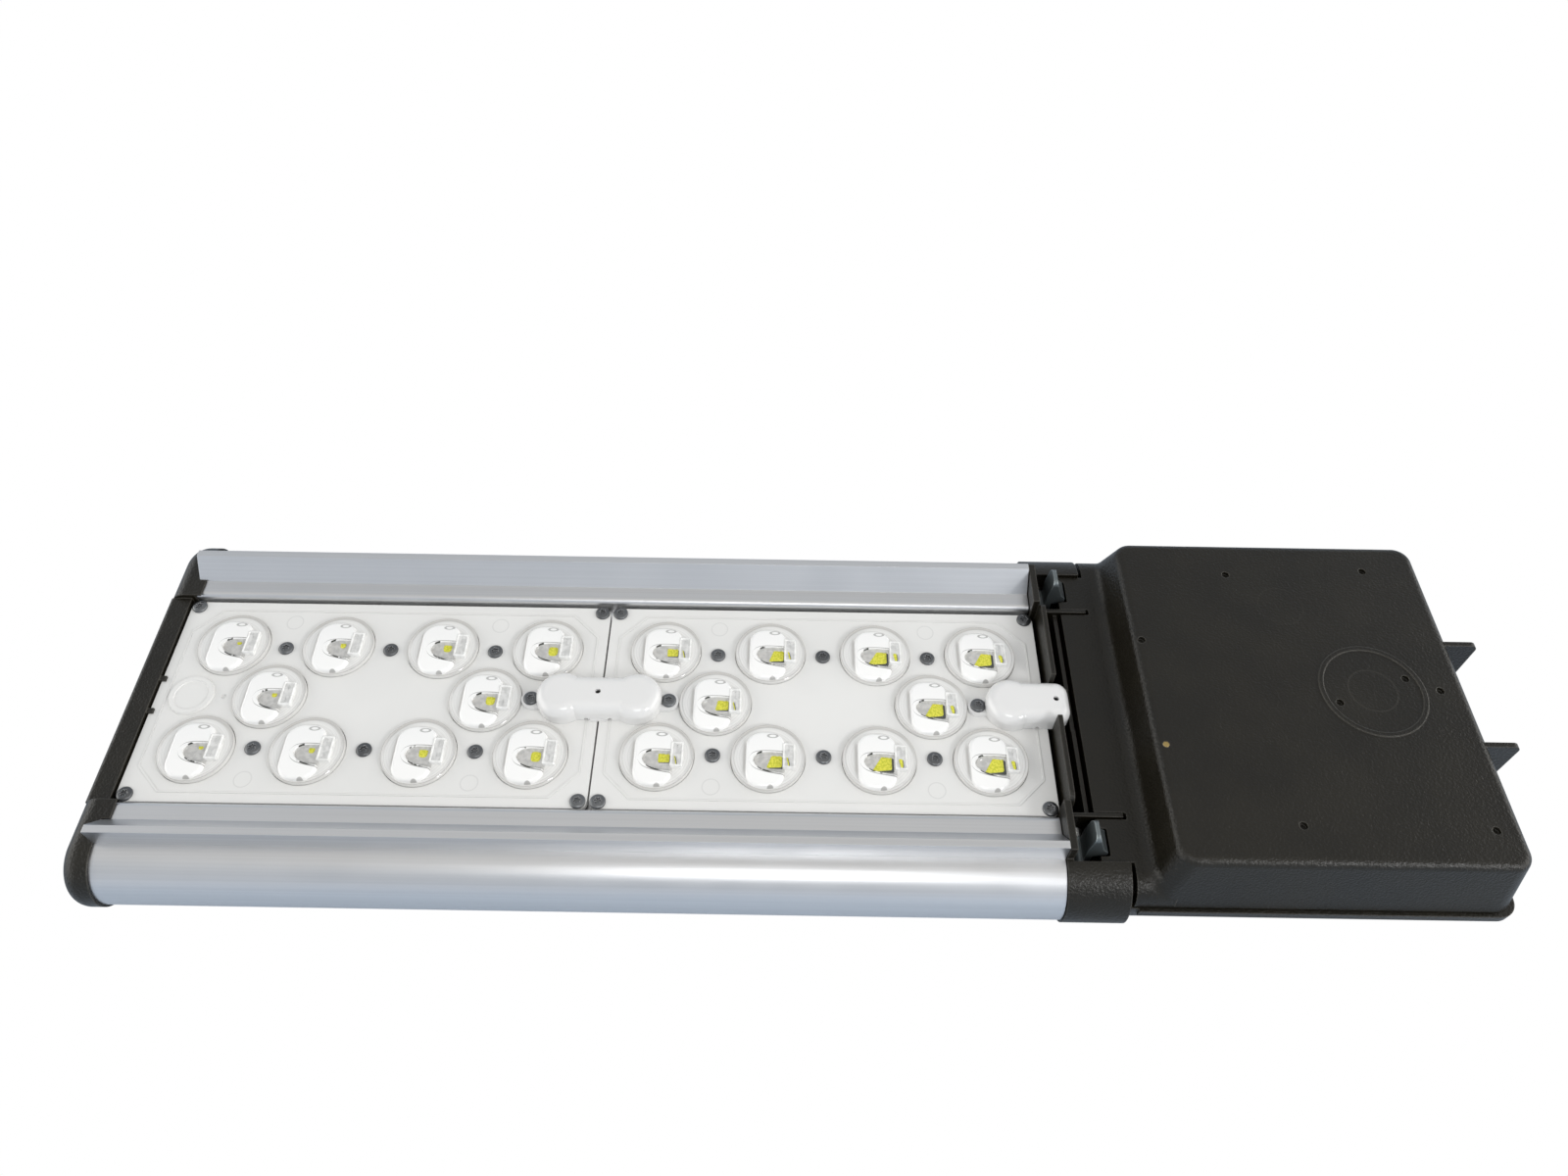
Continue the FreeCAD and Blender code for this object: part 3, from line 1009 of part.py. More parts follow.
def driver():
    top = DOOR_TOP_Z - DOOR_WALL
    x0, x1 = DRIVER_X - DRIVER_W / 2, DRIVER_X + DRIVER_W / 2
    case = prism_x([(-DRIVER_HALF_L, top), (DRIVER_HALF_L, top), (DRIVER_HALF_L, top - DRIVER_H, DRIVER_ROUND),
                    (-DRIVER_HALF_L, top - DRIVER_H, DRIVER_ROUND)], x0, x1)
    reach = DRIVER_HALF_L + DRIVER_EAR_L
    ears = prism_z(rectangle(x0 + 4, x1 - 4, -reach, reach, 3.0), top - DRIVER_EAR_T, top)
    body = fuse([case, ears])
    holes = [disc(x, y, top - DRIVER_EAR_T - 1, top + 1, SCREW_D / 2 + SCREW_SLACK)
             for x, y in driver_screw_points()]
    return body.cut(holes)


def driver_screws():
    seat = DOOR_TOP_Z - DOOR_WALL - DRIVER_EAR_T
    depth = DRIVER_EAR_T + DOOR_WALL * 0.5
    return Part.makeCompound([pan_screw(Vector(x, y, seat), Vector(0, 0, -1), SCREW_HEAD_D, SCREW_HEAD_H,
                                        SCREW_D, depth, SCREW_CROWN) for x, y in driver_screw_points()])


def brass_bonding_screw():
    x, y = BRASS_AT
    return disc(x, y, DOOR_TOP_Z - DOOR_WALL, DOOR_TOP_Z - 0.1, BRASS_D / 2)


def terminal_block():
    (x, y), (length, width, height) = TERMINAL_AT, TERMINAL_SIZE
    block = prism_z(rectangle(x - length / 2, x + length / 2, y - width / 2, y + width / 2, 1.5),
                    FLOOR_Z, FLOOR_Z + height)
    cuts = []
    pitch = length / TERMINAL_POLES
    for i in range(TERMINAL_POLES):
        px = x - length / 2 + (i + 0.5) * pitch
        for s in SIDES:
            y0 = y + s * width / 4
            cuts.append(disc(px, y0, FLOOR_Z + height - 8, FLOOR_Z + height + 1, 3.2))
            mouth = y + s * width / 2
            cuts.append(box(px - 4, px + 4, min(mouth, mouth - s * 5), max(mouth, mouth - s * 5) + 0.01,
                            FLOOR_Z + 4, FLOOR_Z + 11))
    return block.cut(cuts)


def terminal_screws():
    (x, y), (length, width, height) = TERMINAL_AT, TERMINAL_SIZE
    pitch = length / TERMINAL_POLES
    return Part.makeCompound([disc(x - length / 2 + (i + 0.5) * pitch, y + s * width / 4,
                                   FLOOR_Z + height - 8, FLOOR_Z + height - 5, 3.0)
                              for i in range(TERMINAL_POLES) for s in SIDES])


def surge_protector():
    (x, y), (length, width, height) = SURGE_AT, SURGE_SIZE
    return prism_z(rectangle(x - length / 2, x + length / 2, y - width / 2, y + width / 2, 5.0),
                   FLOOR_Z, FLOOR_Z + height)


def ground_screw():
    return pan_screw(Vector(GROUND_AT[0], GROUND_AT[1], FLOOR_Z), ALONG_Z, SCREW_HEAD_D, SCREW_HEAD_H,
                     SCREW_D, HOUSING_WALL - 1.2, SCREW_CROWN)


def write_part(name, shape):
    moved = shape.translated(Vector(-ARM_X, 0, -ARM_Z))
    moved.exportStep("parts/" + name + ".step")
    print(name, len(moved.Solids), moved.isValid(), round(moved.Volume / 1000.0, 2))


def main():
    os.makedirs("parts", exist_ok=True)
    write_part("heat_sink", heat_sink())
    write_part("end_cap", end_cap())
    write_part("end_cap_screws", port_screws(CAP_X0 + PORT_SCREW_HEAD_H + 0.3, -1))
    write_part("housing_screws", port_screws(FRONT_X + FRONT_T, 1))
    for side, word in ((-1, "left"), (1, "right")):
        write_part("optic_plate_" + word, optic_plate(side))
        write_part("lens_sheet_" + word, lens_sheet(side))
        write_part("plate_gasket_" + word, plate_gasket(side))
        write_part("led_board_" + word, led_board(side))
        write_part("leds_" + word, leds(side))
        write_part("plate_screws_" + word, plate_screws(side))
    write_part("cover_screws", cover_screws())
    write_part("bridge_wire_cover", bridge_wire_cover())
    write_part("end_wire_cover", end_wire_cover())
    write_part("blank_plug", blank_plug())
    write_part("upper_housing", upper_housing())
    write_part("wire_grommet", wire_grommet())
    write_part("clamp_strap", clamp_strap())
    write_part("clamp_bolts", clamp_bolts())
    write_part("door", door())
    write_part("door_gasket", door_gasket())
    write_part("hinge_pins", hinge_pins())
    for side, word in ((-1, "near"), (1, "far")):
        write_part("latch_" + word, latch(side))
        write_part("latch_pin_" + word, latch_pin(side))
        write_part("latch_spring_" + word, latch_spring(side))
    write_part("driver", driver())
    write_part("driver_screws", driver_screws())
    write_part("brass_bonding_screw", brass_bonding_screw())
    write_part("terminal_block", terminal_block())
    write_part("terminal_screws", terminal_screws())
    write_part("surge_protector", surge_protector())
    write_part("ground_screw", ground_screw())


main()
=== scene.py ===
import json
import logging
import math
from dataclasses import dataclass, replace
from enum import Enum
from typing import Callable, Optional, Sequence, Union

import bmesh
import bpy
import numpy as np
from mathutils import Matrix, Vector


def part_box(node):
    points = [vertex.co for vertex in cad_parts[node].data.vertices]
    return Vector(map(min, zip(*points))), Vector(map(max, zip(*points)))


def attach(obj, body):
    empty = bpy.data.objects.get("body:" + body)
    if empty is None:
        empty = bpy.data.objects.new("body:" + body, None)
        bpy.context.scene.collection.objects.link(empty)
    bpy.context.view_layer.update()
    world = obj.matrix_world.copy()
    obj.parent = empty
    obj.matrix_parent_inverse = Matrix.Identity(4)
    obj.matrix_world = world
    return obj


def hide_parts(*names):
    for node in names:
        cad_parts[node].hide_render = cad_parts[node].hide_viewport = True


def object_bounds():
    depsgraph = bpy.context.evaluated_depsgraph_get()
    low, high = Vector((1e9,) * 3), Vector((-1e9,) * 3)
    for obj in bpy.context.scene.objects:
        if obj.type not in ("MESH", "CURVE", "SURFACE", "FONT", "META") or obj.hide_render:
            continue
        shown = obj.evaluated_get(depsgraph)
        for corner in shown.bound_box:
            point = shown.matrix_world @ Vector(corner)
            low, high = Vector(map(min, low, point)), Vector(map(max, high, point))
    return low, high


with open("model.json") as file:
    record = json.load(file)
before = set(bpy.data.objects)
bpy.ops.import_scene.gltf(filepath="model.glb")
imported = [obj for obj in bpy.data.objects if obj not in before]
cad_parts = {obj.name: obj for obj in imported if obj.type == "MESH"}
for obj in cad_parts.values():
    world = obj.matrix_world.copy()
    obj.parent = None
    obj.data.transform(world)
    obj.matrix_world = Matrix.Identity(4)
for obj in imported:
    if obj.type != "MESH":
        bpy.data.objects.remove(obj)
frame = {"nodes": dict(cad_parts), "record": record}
CAD_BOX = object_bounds()

log = logging.getLogger("street_light_head")

MM = 0.001
HEAD_BODY = "head"
MERGE_DISTANCE = 1e-6
SMOOTH_ANGLE = math.radians(35.0)

Color = tuple[float, float, float]
Socket = Union[bpy.types.NodeSocket, float, Color]


class Side(Enum):
    """The two optic plates, named as the CAD nodes name them."""

    LEFT = "left"
    RIGHT = "right"

    @property
    def sign(self) -> int:
        """Which way along x the plate lies from the joint between the plates."""
        return -1 if self is Side.LEFT else 1


# Places read from the frame


@dataclass(frozen=True)
class Datum:
    """Where the head's own drafting point lies in the row frame, in metres.

    x is the joint between the two optic plates, y the head's centre line and z the tops of the plate screws.
    """

    x: float
    y: float
    z: float

    @classmethod
    def from_frame(cls) -> "Datum":
        """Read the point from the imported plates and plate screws."""
        left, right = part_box("optic_plate_left"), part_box("optic_plate_right")
        low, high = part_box("plate_screws_left")
        return cls((left[1].x + right[0].x) / 2, (low.y + high.y) / 2, high.z)

    def at(self, points: np.ndarray) -> np.ndarray:
        """Turn points in millimetres from the datum into metres in the row frame.

        Args:
            points: an array whose last axis is x, y, z in millimetres.

        Returns:
            The same array in metres in the row frame.
        """
        return points * MM + np.array([self.x, self.y, self.z])


# Meshes from arrays


class Surface:
    """Quads gathered from parameter grids, in millimetres, that become one mesh."""

    def __init__(self) -> None:
        """Start with no points and no faces."""
        self.points: list[np.ndarray] = []
        self.faces: list[np.ndarray] = []
        self.marks: list[np.ndarray] = []
        self.count = 0

    def add(self, points: np.ndarray, faces: np.ndarray, mark: int = 0) -> "Surface":
        """Add loose points and quads.

        Args:
            points: (n, 3) places.
            faces: (m, 4) corners as indexes into points.
            mark: the material index of the quads.

        Returns:
            This surface, so that calls can follow one another.
        """
        self.points.append(points)
        self.faces.append(faces + self.count)
        self.marks.append(np.full(len(faces), mark))
        self.count += len(points)
        return self

    def add_grid(self, grid: np.ndarray, wrap: bool = False, flip: bool = False, mark: int = 0) -> "Surface":
        """Add rows by columns of points, joined by quads.

        Args:
            grid: (rows, columns, 3) places.
            wrap: joins the last column to the first.
            flip: turns the faces round.
            mark: the material index of the quads.

        Returns:
            This surface.
        """
        rows, columns = grid.shape[:2]
        index = np.arange(rows * columns).reshape(rows, columns)
        if wrap:
            index = np.concatenate([index, index[:, :1]], axis=1)
        quads = np.stack([index[:-1, :-1], index[:-1, 1:], index[1:, 1:], index[1:, :-1]], axis=-1).reshape(-1, 4)
        return self.add(grid.reshape(-1, 3), quads[:, ::-1] if flip else quads, mark)

    def add_box(self, low: Sequence[float], high: Sequence[float]) -> "Surface":
        """Add a closed block between two corners.

        Args:
            low: its lowest corner.
            high: its highest corner.

        Returns:
            This surface.
        """
        (x0, y0, z0), (x1, y1, z1) = low, high
        points = np.array([(x, y, z) for z in (z0, z1) for y in (y0, y1) for x in (x0, x1)], float)
        faces = np.array([(0, 2, 3, 1), (4, 5, 7, 6), (0, 1, 5, 4), (2, 6, 7, 3), (0, 4, 6, 2), (1, 3, 7, 5)])
        return self.add(points, faces)

    def add_at(self, other: "Surface", centres: np.ndarray) -> "Surface":
        """Add a copy of another surface at each centre.

        Args:
            other: what is repeated.
            centres: (k, 3) places.

        Returns:
            This surface.
        """
        points, faces, marks = other.joined()
        for centre in centres:
            self.points.append(points + centre)
            self.faces.append(faces + self.count)
            self.marks.append(marks)
            self.count += len(points)
        return self

    def joined(self) -> tuple[np.ndarray, np.ndarray, np.ndarray]:
        """Everything as one array of points, one of quads and one of material indexes."""
        return np.concatenate(self.points), np.concatenate(self.faces), np.concatenate(self.marks)

    def to_object(self, name: str, place: Callable[[np.ndarray], np.ndarray],
                  materials: Sequence[bpy.types.Material], angle: float = SMOOTH_ANGLE) -> bpy.types.Object:
        """Put the quads into a mesh object at the origin.

        Args:
            name: the object's name.
            place: turns the points into metres in the row frame.
            materials: the materials, in the order of the marks.
            angle: edges sharper than this stay sharp, in radians.

        Returns:
            The object, with doubled points merged and smooth shading by angle.
        """
        points, faces, marks = self.joined()
        mesh = bpy.data.meshes.new(name)
        mesh.from_pydata(place(points), [], faces.tolist())
        mesh.polygons.foreach_set("material_index", marks.astype(np.int32))
        made = bpy.data.objects.new(name, mesh)
        bpy.context.scene.collection.objects.link(made)
        for material in materials:
            mesh.materials.append(material)
        work = bmesh.new()
        work.from_mesh(mesh)
        bmesh.ops.remove_doubles(work, verts=work.verts, dist=MERGE_DISTANCE)
        bmesh.ops.dissolve_degenerate(work, dist=MERGE_DISTANCE, edges=work.edges)
        work.to_mesh(mesh)
        work.free()
        mesh.shade_smooth()
        mesh.set_sharp_from_angle(angle=angle)
        mesh.update()
        return made


def turned(profile: Sequence[tuple[float, float]], steps: int) -> Surface:
    """Turn a profile about the z axis: the point at angle a is (r cos a, r sin a, z).

    Args:
        profile: (r, z) pairs from the rim inwards.
        steps: how many points there are round the axis.

    Returns:
        The surface, whose faces look outwards.
    """
    angle = np.linspace(0, 2 * math.pi, steps, endpoint=False)
    r, z = np.array(profile, float).T
    grid = np.stack([np.outer(r, np.cos(angle)), np.outer(r, np.sin(angle)), np.repeat(z[:, None], steps, 1)], -1)
    return Surface().add_grid(grid, wrap=True)


def rounded_outline(x0: float, x1: float, half: float, radii: tuple[float, float], steps: int) -> np.ndarray:
    """Points round a rectangle with rounded corners, counter-clockwise from the middle of its right side.

    Args:
        x0: the left side.
        x1: the right side.
        half: half the height.
        radii: the corner radius of the left and of the right corners.
        steps: points on each corner's arc.

    Returns:
        (n, 2) places; the straight sides are divided too, so that the points are about evenly spaced.
    """
    left, right = radii
    corners = [(x1 - right, half - right, right, 0.0), (x0 + left, half - left, left, 0.5),
               (x0 + left, -half + left, left, 1.0), (x1 - right, -half + right, right, 1.5)]
    arcs = []
    for cx, cy, r, start in corners:
        turn = (start + np.linspace(0, 0.5, steps)) * math.pi
        arcs.append(np.stack([cx + r * np.cos(turn), cy + r * np.sin(turn)], -1))
    points = []
    for i, arc in enumerate(arcs):
        following = arcs[(i + 1) % 4][0]
        points.append(arc)
        part = np.linspace(0, 1, steps + 1)[1:-1, None]
        points.append(arc[-1] + (following - arc[-1]) * part)
    return np.concatenate(points)


def smooth_polygon(corners: Sequence[tuple[float, float]], rounding: float, steps: int = 6) -> np.ndarray:
    """Points round a polygon whose corners are cut by quadratic curves.

    Args:
        corners: the corners in order.
        rounding: the share of each side that a corner's curve takes, up to a half.
        steps: points on each corner's curve.

    Returns:
        (n, 2) places.
    """
    places = np.array(corners, float)
    points = []
    for i, corner in enumerate(places):
        start = corner + (places[i - 1] - corner) * rounding
        end = corner + (places[(i + 1) % len(places)] - corner) * rounding
        t = np.linspace(0, 1, steps)[:, None]
        points.append(start * (1 - t) ** 2 + corner * 2 * t * (1 - t) + end * t ** 2)
    return np.concatenate(points)


def set_local_uv(made: bpy.types.Object, centres: np.ndarray, datum: Datum, span: float) -> None:
    """Give each point the place it has beside its nearest centre: u = x / span + 0.5 and v = y / span + 0.5.

    A second layer holds the centre's share of the way along the head.

    Args:
        made: the mesh object.
        centres: (k, 3) places in millimetres.
        datum: the drafting point.
        span: how many millimetres go from 0 to 1.
    """
    mesh = made.data
    points = np.empty(len(mesh.vertices) * 3)
    mesh.vertices.foreach_get("co", points)
    flat = points.reshape(-1, 3)[:, :2] / MM - np.array([datum.x, datum.y]) / MM
    nearest = np.argmin(((flat[:, None] - centres[None, :, :2]) ** 2).sum(-1), axis=1)
    local = (flat - centres[nearest, :2]) / span + 0.5
    corners = np.empty(len(mesh.loops), np.int32)
    mesh.loops.foreach_get("vertex_index", corners)
    layer = mesh.uv_layers.new(name="local")
    layer.data.foreach_set("uv", local[corners].ravel())
    share = np.repeat(Lens.column_share(centres[nearest, 0])[:, None], 2, axis=1)
    layer = mesh.uv_layers.new(name="column")
    layer.data.foreach_set("uv", share[corners].ravel())


# Shader nodes


class Graph:
    """A node tree with short calls to add nodes and join them."""

    def __init__(self, tree: bpy.types.NodeTree) -> None:
        """Work on a tree.

        Args:
            tree: the node tree of a material, a group or the world.
        """
        self.tree = tree

    def node(self, kind: str, values: Optional[dict[Union[str, int], Socket]] = None, **settings) -> bpy.types.Node:
        """Add a node.

        Args:
            kind: its type's name.
            values: for each input, a socket to join or a value to set.
            settings: properties of the node.

        Returns:
            The node.
        """
        made = self.tree.nodes.new(kind)
        for key, value in settings.items():
            setattr(made, key, value)
        for key, value in (values or {}).items():
            if isinstance(value, bpy.types.NodeSocket):
                self.tree.links.new(value, made.inputs[key])
            elif isinstance(value, tuple) and len(value) == 3 and made.inputs[key].type == "RGBA":
                made.inputs[key].default_value = (*value, 1.0)
            else:
                made.inputs[key].default_value = value
        return made

    def math(self, operation: str, *values: Socket, clamp: bool = False) -> bpy.types.NodeSocket:
        """Add a math node and return its result."""
        made = self.node("ShaderNodeMath", dict(enumerate(values)), operation=operation, use_clamp=clamp)
        return made.outputs[0]

    def between(self, value: Socket, low: float, high: float, to_low: float = 0.0,
                to_high: float = 1.0) -> bpy.types.NodeSocket:
        """Map a value smoothly from low..high to to_low..to_high, and hold it beyond them."""
        made = self.node("ShaderNodeMapRange", {"Value": value, "From Min": low, "From Max": high, "To Min": to_low,
                                                "To Max": to_high}, interpolation_type="SMOOTHSTEP")
        return made.outputs["Result"]

    def mix(self, factor: Socket, first: Socket, second: Socket) -> bpy.types.NodeSocket:
        """Mix two colours."""
        made = self.node("ShaderNodeMix", data_type="RGBA")
        pairs = ((made.inputs[0], factor), (made.inputs[6], first), (made.inputs[7], second))
        for socket, value in pairs:
            if isinstance(value, bpy.types.NodeSocket):
                self.tree.links.new(value, socket)
            else:
                socket.default_value = (*value, 1.0) if isinstance(value, tuple) else value
        return made.outputs[2]

    def noise(self, coordinates: bpy.types.NodeSocket, scale: float, detail: float = 3.0) -> bpy.types.NodeSocket:
        """Add a noise texture and return its value."""
        made = self.node("ShaderNodeTexNoise", {"Vector": coordinates, "Scale": scale, "Detail": detail})
        return made.outputs["Fac"]


def new_group(name: str, inputs: dict[str, float], outputs: dict[str, str]) -> tuple[bpy.types.NodeTree, Graph]:
    """Start a shader node group.

    Args:
        name: the group's name.
        inputs: the default of each number that goes in.
        outputs: the socket type of each result.

    Returns:
        The group's tree and a graph on it.
    """
    tree = bpy.data.node_groups.new(name, "ShaderNodeTree")
    for key, value in inputs.items():
        socket = tree.interface.new_socket(key, in_out="INPUT", socket_type="NodeSocketFloat")
        socket.default_value = value
    for key, kind in outputs.items():
        tree.interface.new_socket(key, in_out="OUTPUT", socket_type=kind)
    return tree, Graph(tree)


class Effects:
    """The shader node groups that several finishes share."""

    def __init__(self, datum: Datum) -> None:
        """Build the groups.

        Args:
            datum: the drafting point.
        """
        self.edge = self._edge()
        self.grain = self._grain()
        self.extrusion = self._extrusion()
        self.marks = self._marks(datum)

    @staticmethod
    def _edge() -> bpy.types.NodeTree:
        """Softened normals and a mask of edges: 1 where the softened normal leaves the true one."""
        tree, graph = new_group("edge", {"Radius": 0.0006, "Sharpness": 6.0},
                                {"Normal": "NodeSocketVector", "Mask": "NodeSocketFloat"})
        given = graph.node("NodeGroupInput")
        bevel = graph.node("ShaderNodeBevel", {"Radius": given.outputs["Radius"]}, samples=4)
        true = graph.node("ShaderNodeNewGeometry")
        dot = graph.node("ShaderNodeVectorMath", {0: bevel.outputs[0], 1: true.outputs["Normal"]},
                         operation="DOT_PRODUCT")
        turned_away = graph.math("SUBTRACT", 1.0, dot.outputs["Value"])
        mask = graph.math("MULTIPLY", turned_away, given.outputs["Sharpness"], clamp=True)
        graph.node("NodeGroupOutput", {"Normal": bevel.outputs[0], "Mask": mask})
        return tree

    @staticmethod
    def _grain() -> bpy.types.NodeTree:
        """Fine even grain and broad cloudy variation, both from 0 to 1, in object coordinates."""
        tree, graph = new_group("grain", {"Fine": 900.0, "Broad": 30.0},
                                {"Grain": "NodeSocketFloat", "Clouds": "NodeSocketFloat"})
        given = graph.node("NodeGroupInput")
        where = graph.node("ShaderNodeTexCoord").outputs["Object"]
        fine = graph.node("ShaderNodeTexNoise", {"Vector": where, "Scale": given.outputs["Fine"], "Detail": 2.0})
        broad = graph.node("ShaderNodeTexNoise", {"Vector": where, "Scale": given.outputs["Broad"], "Detail": 4.0})
        graph.node("NodeGroupOutput", {"Grain": fine.outputs["Fac"], "Clouds": broad.outputs["Fac"]})
        return tree

    @staticmethod
    def _extrusion() -> bpy.types.NodeTree:
        """Long faint lines along x, as an extrusion die leaves them, from 0 to 1."""
        tree, graph = new_group("extrusion", {"Across": 700.0}, {"Lines": "NodeSocketFloat"})
        given = graph.node("NodeGroupInput")
        where = graph.node("ShaderNodeTexCoord").outputs["Object"]
        stretched = graph.node("ShaderNodeVectorMath", {0: where, 1: (0.004, 1.0, 1.0)}, operation="MULTIPLY")
        lines = graph.node("ShaderNodeTexNoise", {"Vector": stretched.outputs[0], "Scale": given.outputs["Across"],
                                                  "Detail": 3.0})
        graph.node("NodeGroupOutput", {"Lines": lines.outputs["Fac"]})
        return tree

    @staticmethod
    def _marks(datum: Datum) -> bpy.types.NodeTree:
        """Rings that the moulds left: an ejector's four on each optic plate and two on the door's cover."""
        tree, graph = new_group("mould_marks", {}, {"Ejector": "NodeSocketFloat", "Cast": "NodeSocketFloat"})
        split = graph.node("ShaderNodeSeparateXYZ", {0: graph.node("ShaderNodeTexCoord").outputs["Object"]})

        def ring(x: bpy.types.NodeSocket, y: bpy.types.NodeSocket, r: float, width: float) -> bpy.types.NodeSocket:
            """1 on a circle about the point where x and y are 0, and 0 beyond its width."""
            away = graph.math("SQRT", graph.math("ADD", graph.math("MULTIPLY", x, x), graph.math("MULTIPLY", y, y)))
            off = graph.math("ABSOLUTE", graph.math("SUBTRACT", away, r * MM))
            return graph.between(off, width * MM * 0.3, width * MM, 1.0, 0.0)

        across = graph.math("ABSOLUTE", graph.math("SUBTRACT", split.outputs[0], datum.x))
        across = graph.math("ABSOLUTE", graph.math("SUBTRACT", across, 124.0 * MM))
        along = graph.math("ABSOLUTE", graph.math("SUBTRACT", split.outputs[1], datum.y))
        ejector = ring(graph.math("SUBTRACT", across, 60.0 * MM), graph.math("SUBTRACT", along, 51.0 * MM), 4.6, 0.5)
        x = graph.math("SUBTRACT", split.outputs[0], datum.x + 419.8 * MM)
        y = graph.math("SUBTRACT", split.outputs[1], datum.y)
        cast = graph.math("MAXIMUM", ring(x, y, 13.0, 0.7), graph.math("MULTIPLY", ring(
            graph.math("ADD", x, 35.8 * MM), graph.math("SUBTRACT", y, 56.0 * MM), 12.5, 0.5), 0.5))
        graph.node("NodeGroupOutput", {"Ejector": ejector, "Cast": cast})
        return tree


def new_material(name: str) -> tuple[bpy.types.Material, Graph, bpy.types.Node]:
    """A material with only a Principled BSDF.

    Args:
        name: the material's name.

    Returns:
        The material, a graph on its tree and the shader.
    """
    material = bpy.data.materials.new(name)
    material.use_nodes = True
    graph = Graph(material.node_tree)
    shader = next(n for n in material.node_tree.nodes if n.type == "BSDF_PRINCIPLED")
    return material, graph, shader


def join(graph: Graph, shader: bpy.types.Node, values: dict[str, Socket]) -> None:
    """Set or join inputs of a shader.

    Args:
        graph: the graph the shader is in.
        shader: the shader.
        values: for each input, a socket to join or a value to set.
    """
    for key, value in values.items():
        if isinstance(value, bpy.types.NodeSocket):
            graph.tree.links.new(value, shader.inputs[key])
        elif isinstance(value, tuple) and len(value) == 3:
            shader.inputs[key].default_value = (*value, 1.0)
        else:
            shader.inputs[key].default_value = value


# Finishes


@dataclass(frozen=True)
class Finish:
    """A plain finish: a base colour with clouds and grain, and a painted highlight along edges.

    color and edge_color are linear colours. grain_bump is the bump's strength and grain_scale its fineness
    per metre. clouds says how much the colour varies over broad patches. mark names the output of the mould
    marks group that is drawn in the edge colour.
    """

    name: str
    color: Color
    edge_color: Color
    roughness: float = 0.4
    metallic: float = 0.0
    specular: float = 0.5
    coat: float = 0.0
    grain_scale: float = 900.0
    grain_bump: float = 0.05
    clouds: float = 0.08
    edge_radius: float = 0.0006
    edge_strength: float = 0.5
    mark: Optional[str] = None
    mark_strength: float = 0.3

    def build(self, effects: Effects) -> bpy.types.Material:
        """Make the material.

        Args:
            effects: the shared node groups.

        Returns:
            The material.
        """
        material, graph, shader = new_material(self.name)
        edge = graph.node("ShaderNodeGroup", node_tree=effects.edge)
        edge.inputs["Radius"].default_value = self.edge_radius
        grain = graph.node("ShaderNodeGroup", node_tree=effects.grain)
        grain.inputs["Fine"].default_value = self.grain_scale
        darker = tuple(c * (1 - self.clouds) for c in self.color)
        lighter = tuple(min(1.0, c * (1 + self.clouds)) for c in self.color)
        clouded = graph.mix(graph.between(grain.outputs["Clouds"], 0.3, 0.7), darker, lighter)
        # painted highlight: edges are lightened towards edge_color, and the mould marks are drawn in the same colour
        edge_highlight_and_marks = graph.math("MULTIPLY", edge.outputs["Mask"], self.edge_strength)
        if self.mark:
            marks = graph.node("ShaderNodeGroup", node_tree=effects.marks)
            edge_highlight_and_marks = graph.math("MAXIMUM", edge_highlight_and_marks, graph.math("MULTIPLY", marks.outputs[self.mark], self.mark_strength))
        bump = graph.node("ShaderNodeBump", {"Height": grain.outputs["Grain"], "Normal": edge.outputs["Normal"],
                                             "Strength": self.grain_bump, "Distance": 0.0005})
        rough = graph.between(grain.outputs["Clouds"], 0.2, 0.8, self.roughness * 0.9, self.roughness * 1.1)
        shader.inputs["Specular IOR Level"].default_value = self.specular
        join(graph, shader, {"Base Color": graph.mix(edge_highlight_and_marks, clouded, self.edge_color), "Roughness": rough,
                             "Metallic": self.metallic, "Coat Weight": self.coat, "Normal": bump.outputs[0]})
        return material


@dataclass(frozen=True)
class AnodisedFinish:
    """Satin anodised extrusion: fine lines along x in its colour and bump, and a cloudy roughness."""

    name: str
    color: Color
    roughness: float = 0.34

    def build(self, effects: Effects) -> bpy.types.Material:
        """Make the material."""
        material, graph, shader = new_material(self.name)
        lines = graph.node("ShaderNodeGroup", node_tree=effects.extrusion)
        edge = graph.node("ShaderNodeGroup", node_tree=effects.edge)
        edge.inputs["Radius"].default_value = 0.0003
        grain = graph.node("ShaderNodeGroup", node_tree=effects.grain)
        shade = graph.between(lines.outputs["Lines"], 0.3, 0.7)
        base = graph.mix(shade, tuple(c * 0.95 for c in self.color), self.color)
        rough = graph.between(grain.outputs["Clouds"], 0.2, 0.8, self.roughness - 0.03, self.roughness + 0.03)
        bump = graph.node("ShaderNodeBump", {"Height": lines.outputs["Lines"], "Normal": edge.outputs["Normal"],
                                             "Strength": 0.06, "Distance": 0.0003})
        join(graph, shader, {"Base Color": base, "Roughness": rough, "Metallic": 1.0, "Normal": bump.outputs[0]})
        return material


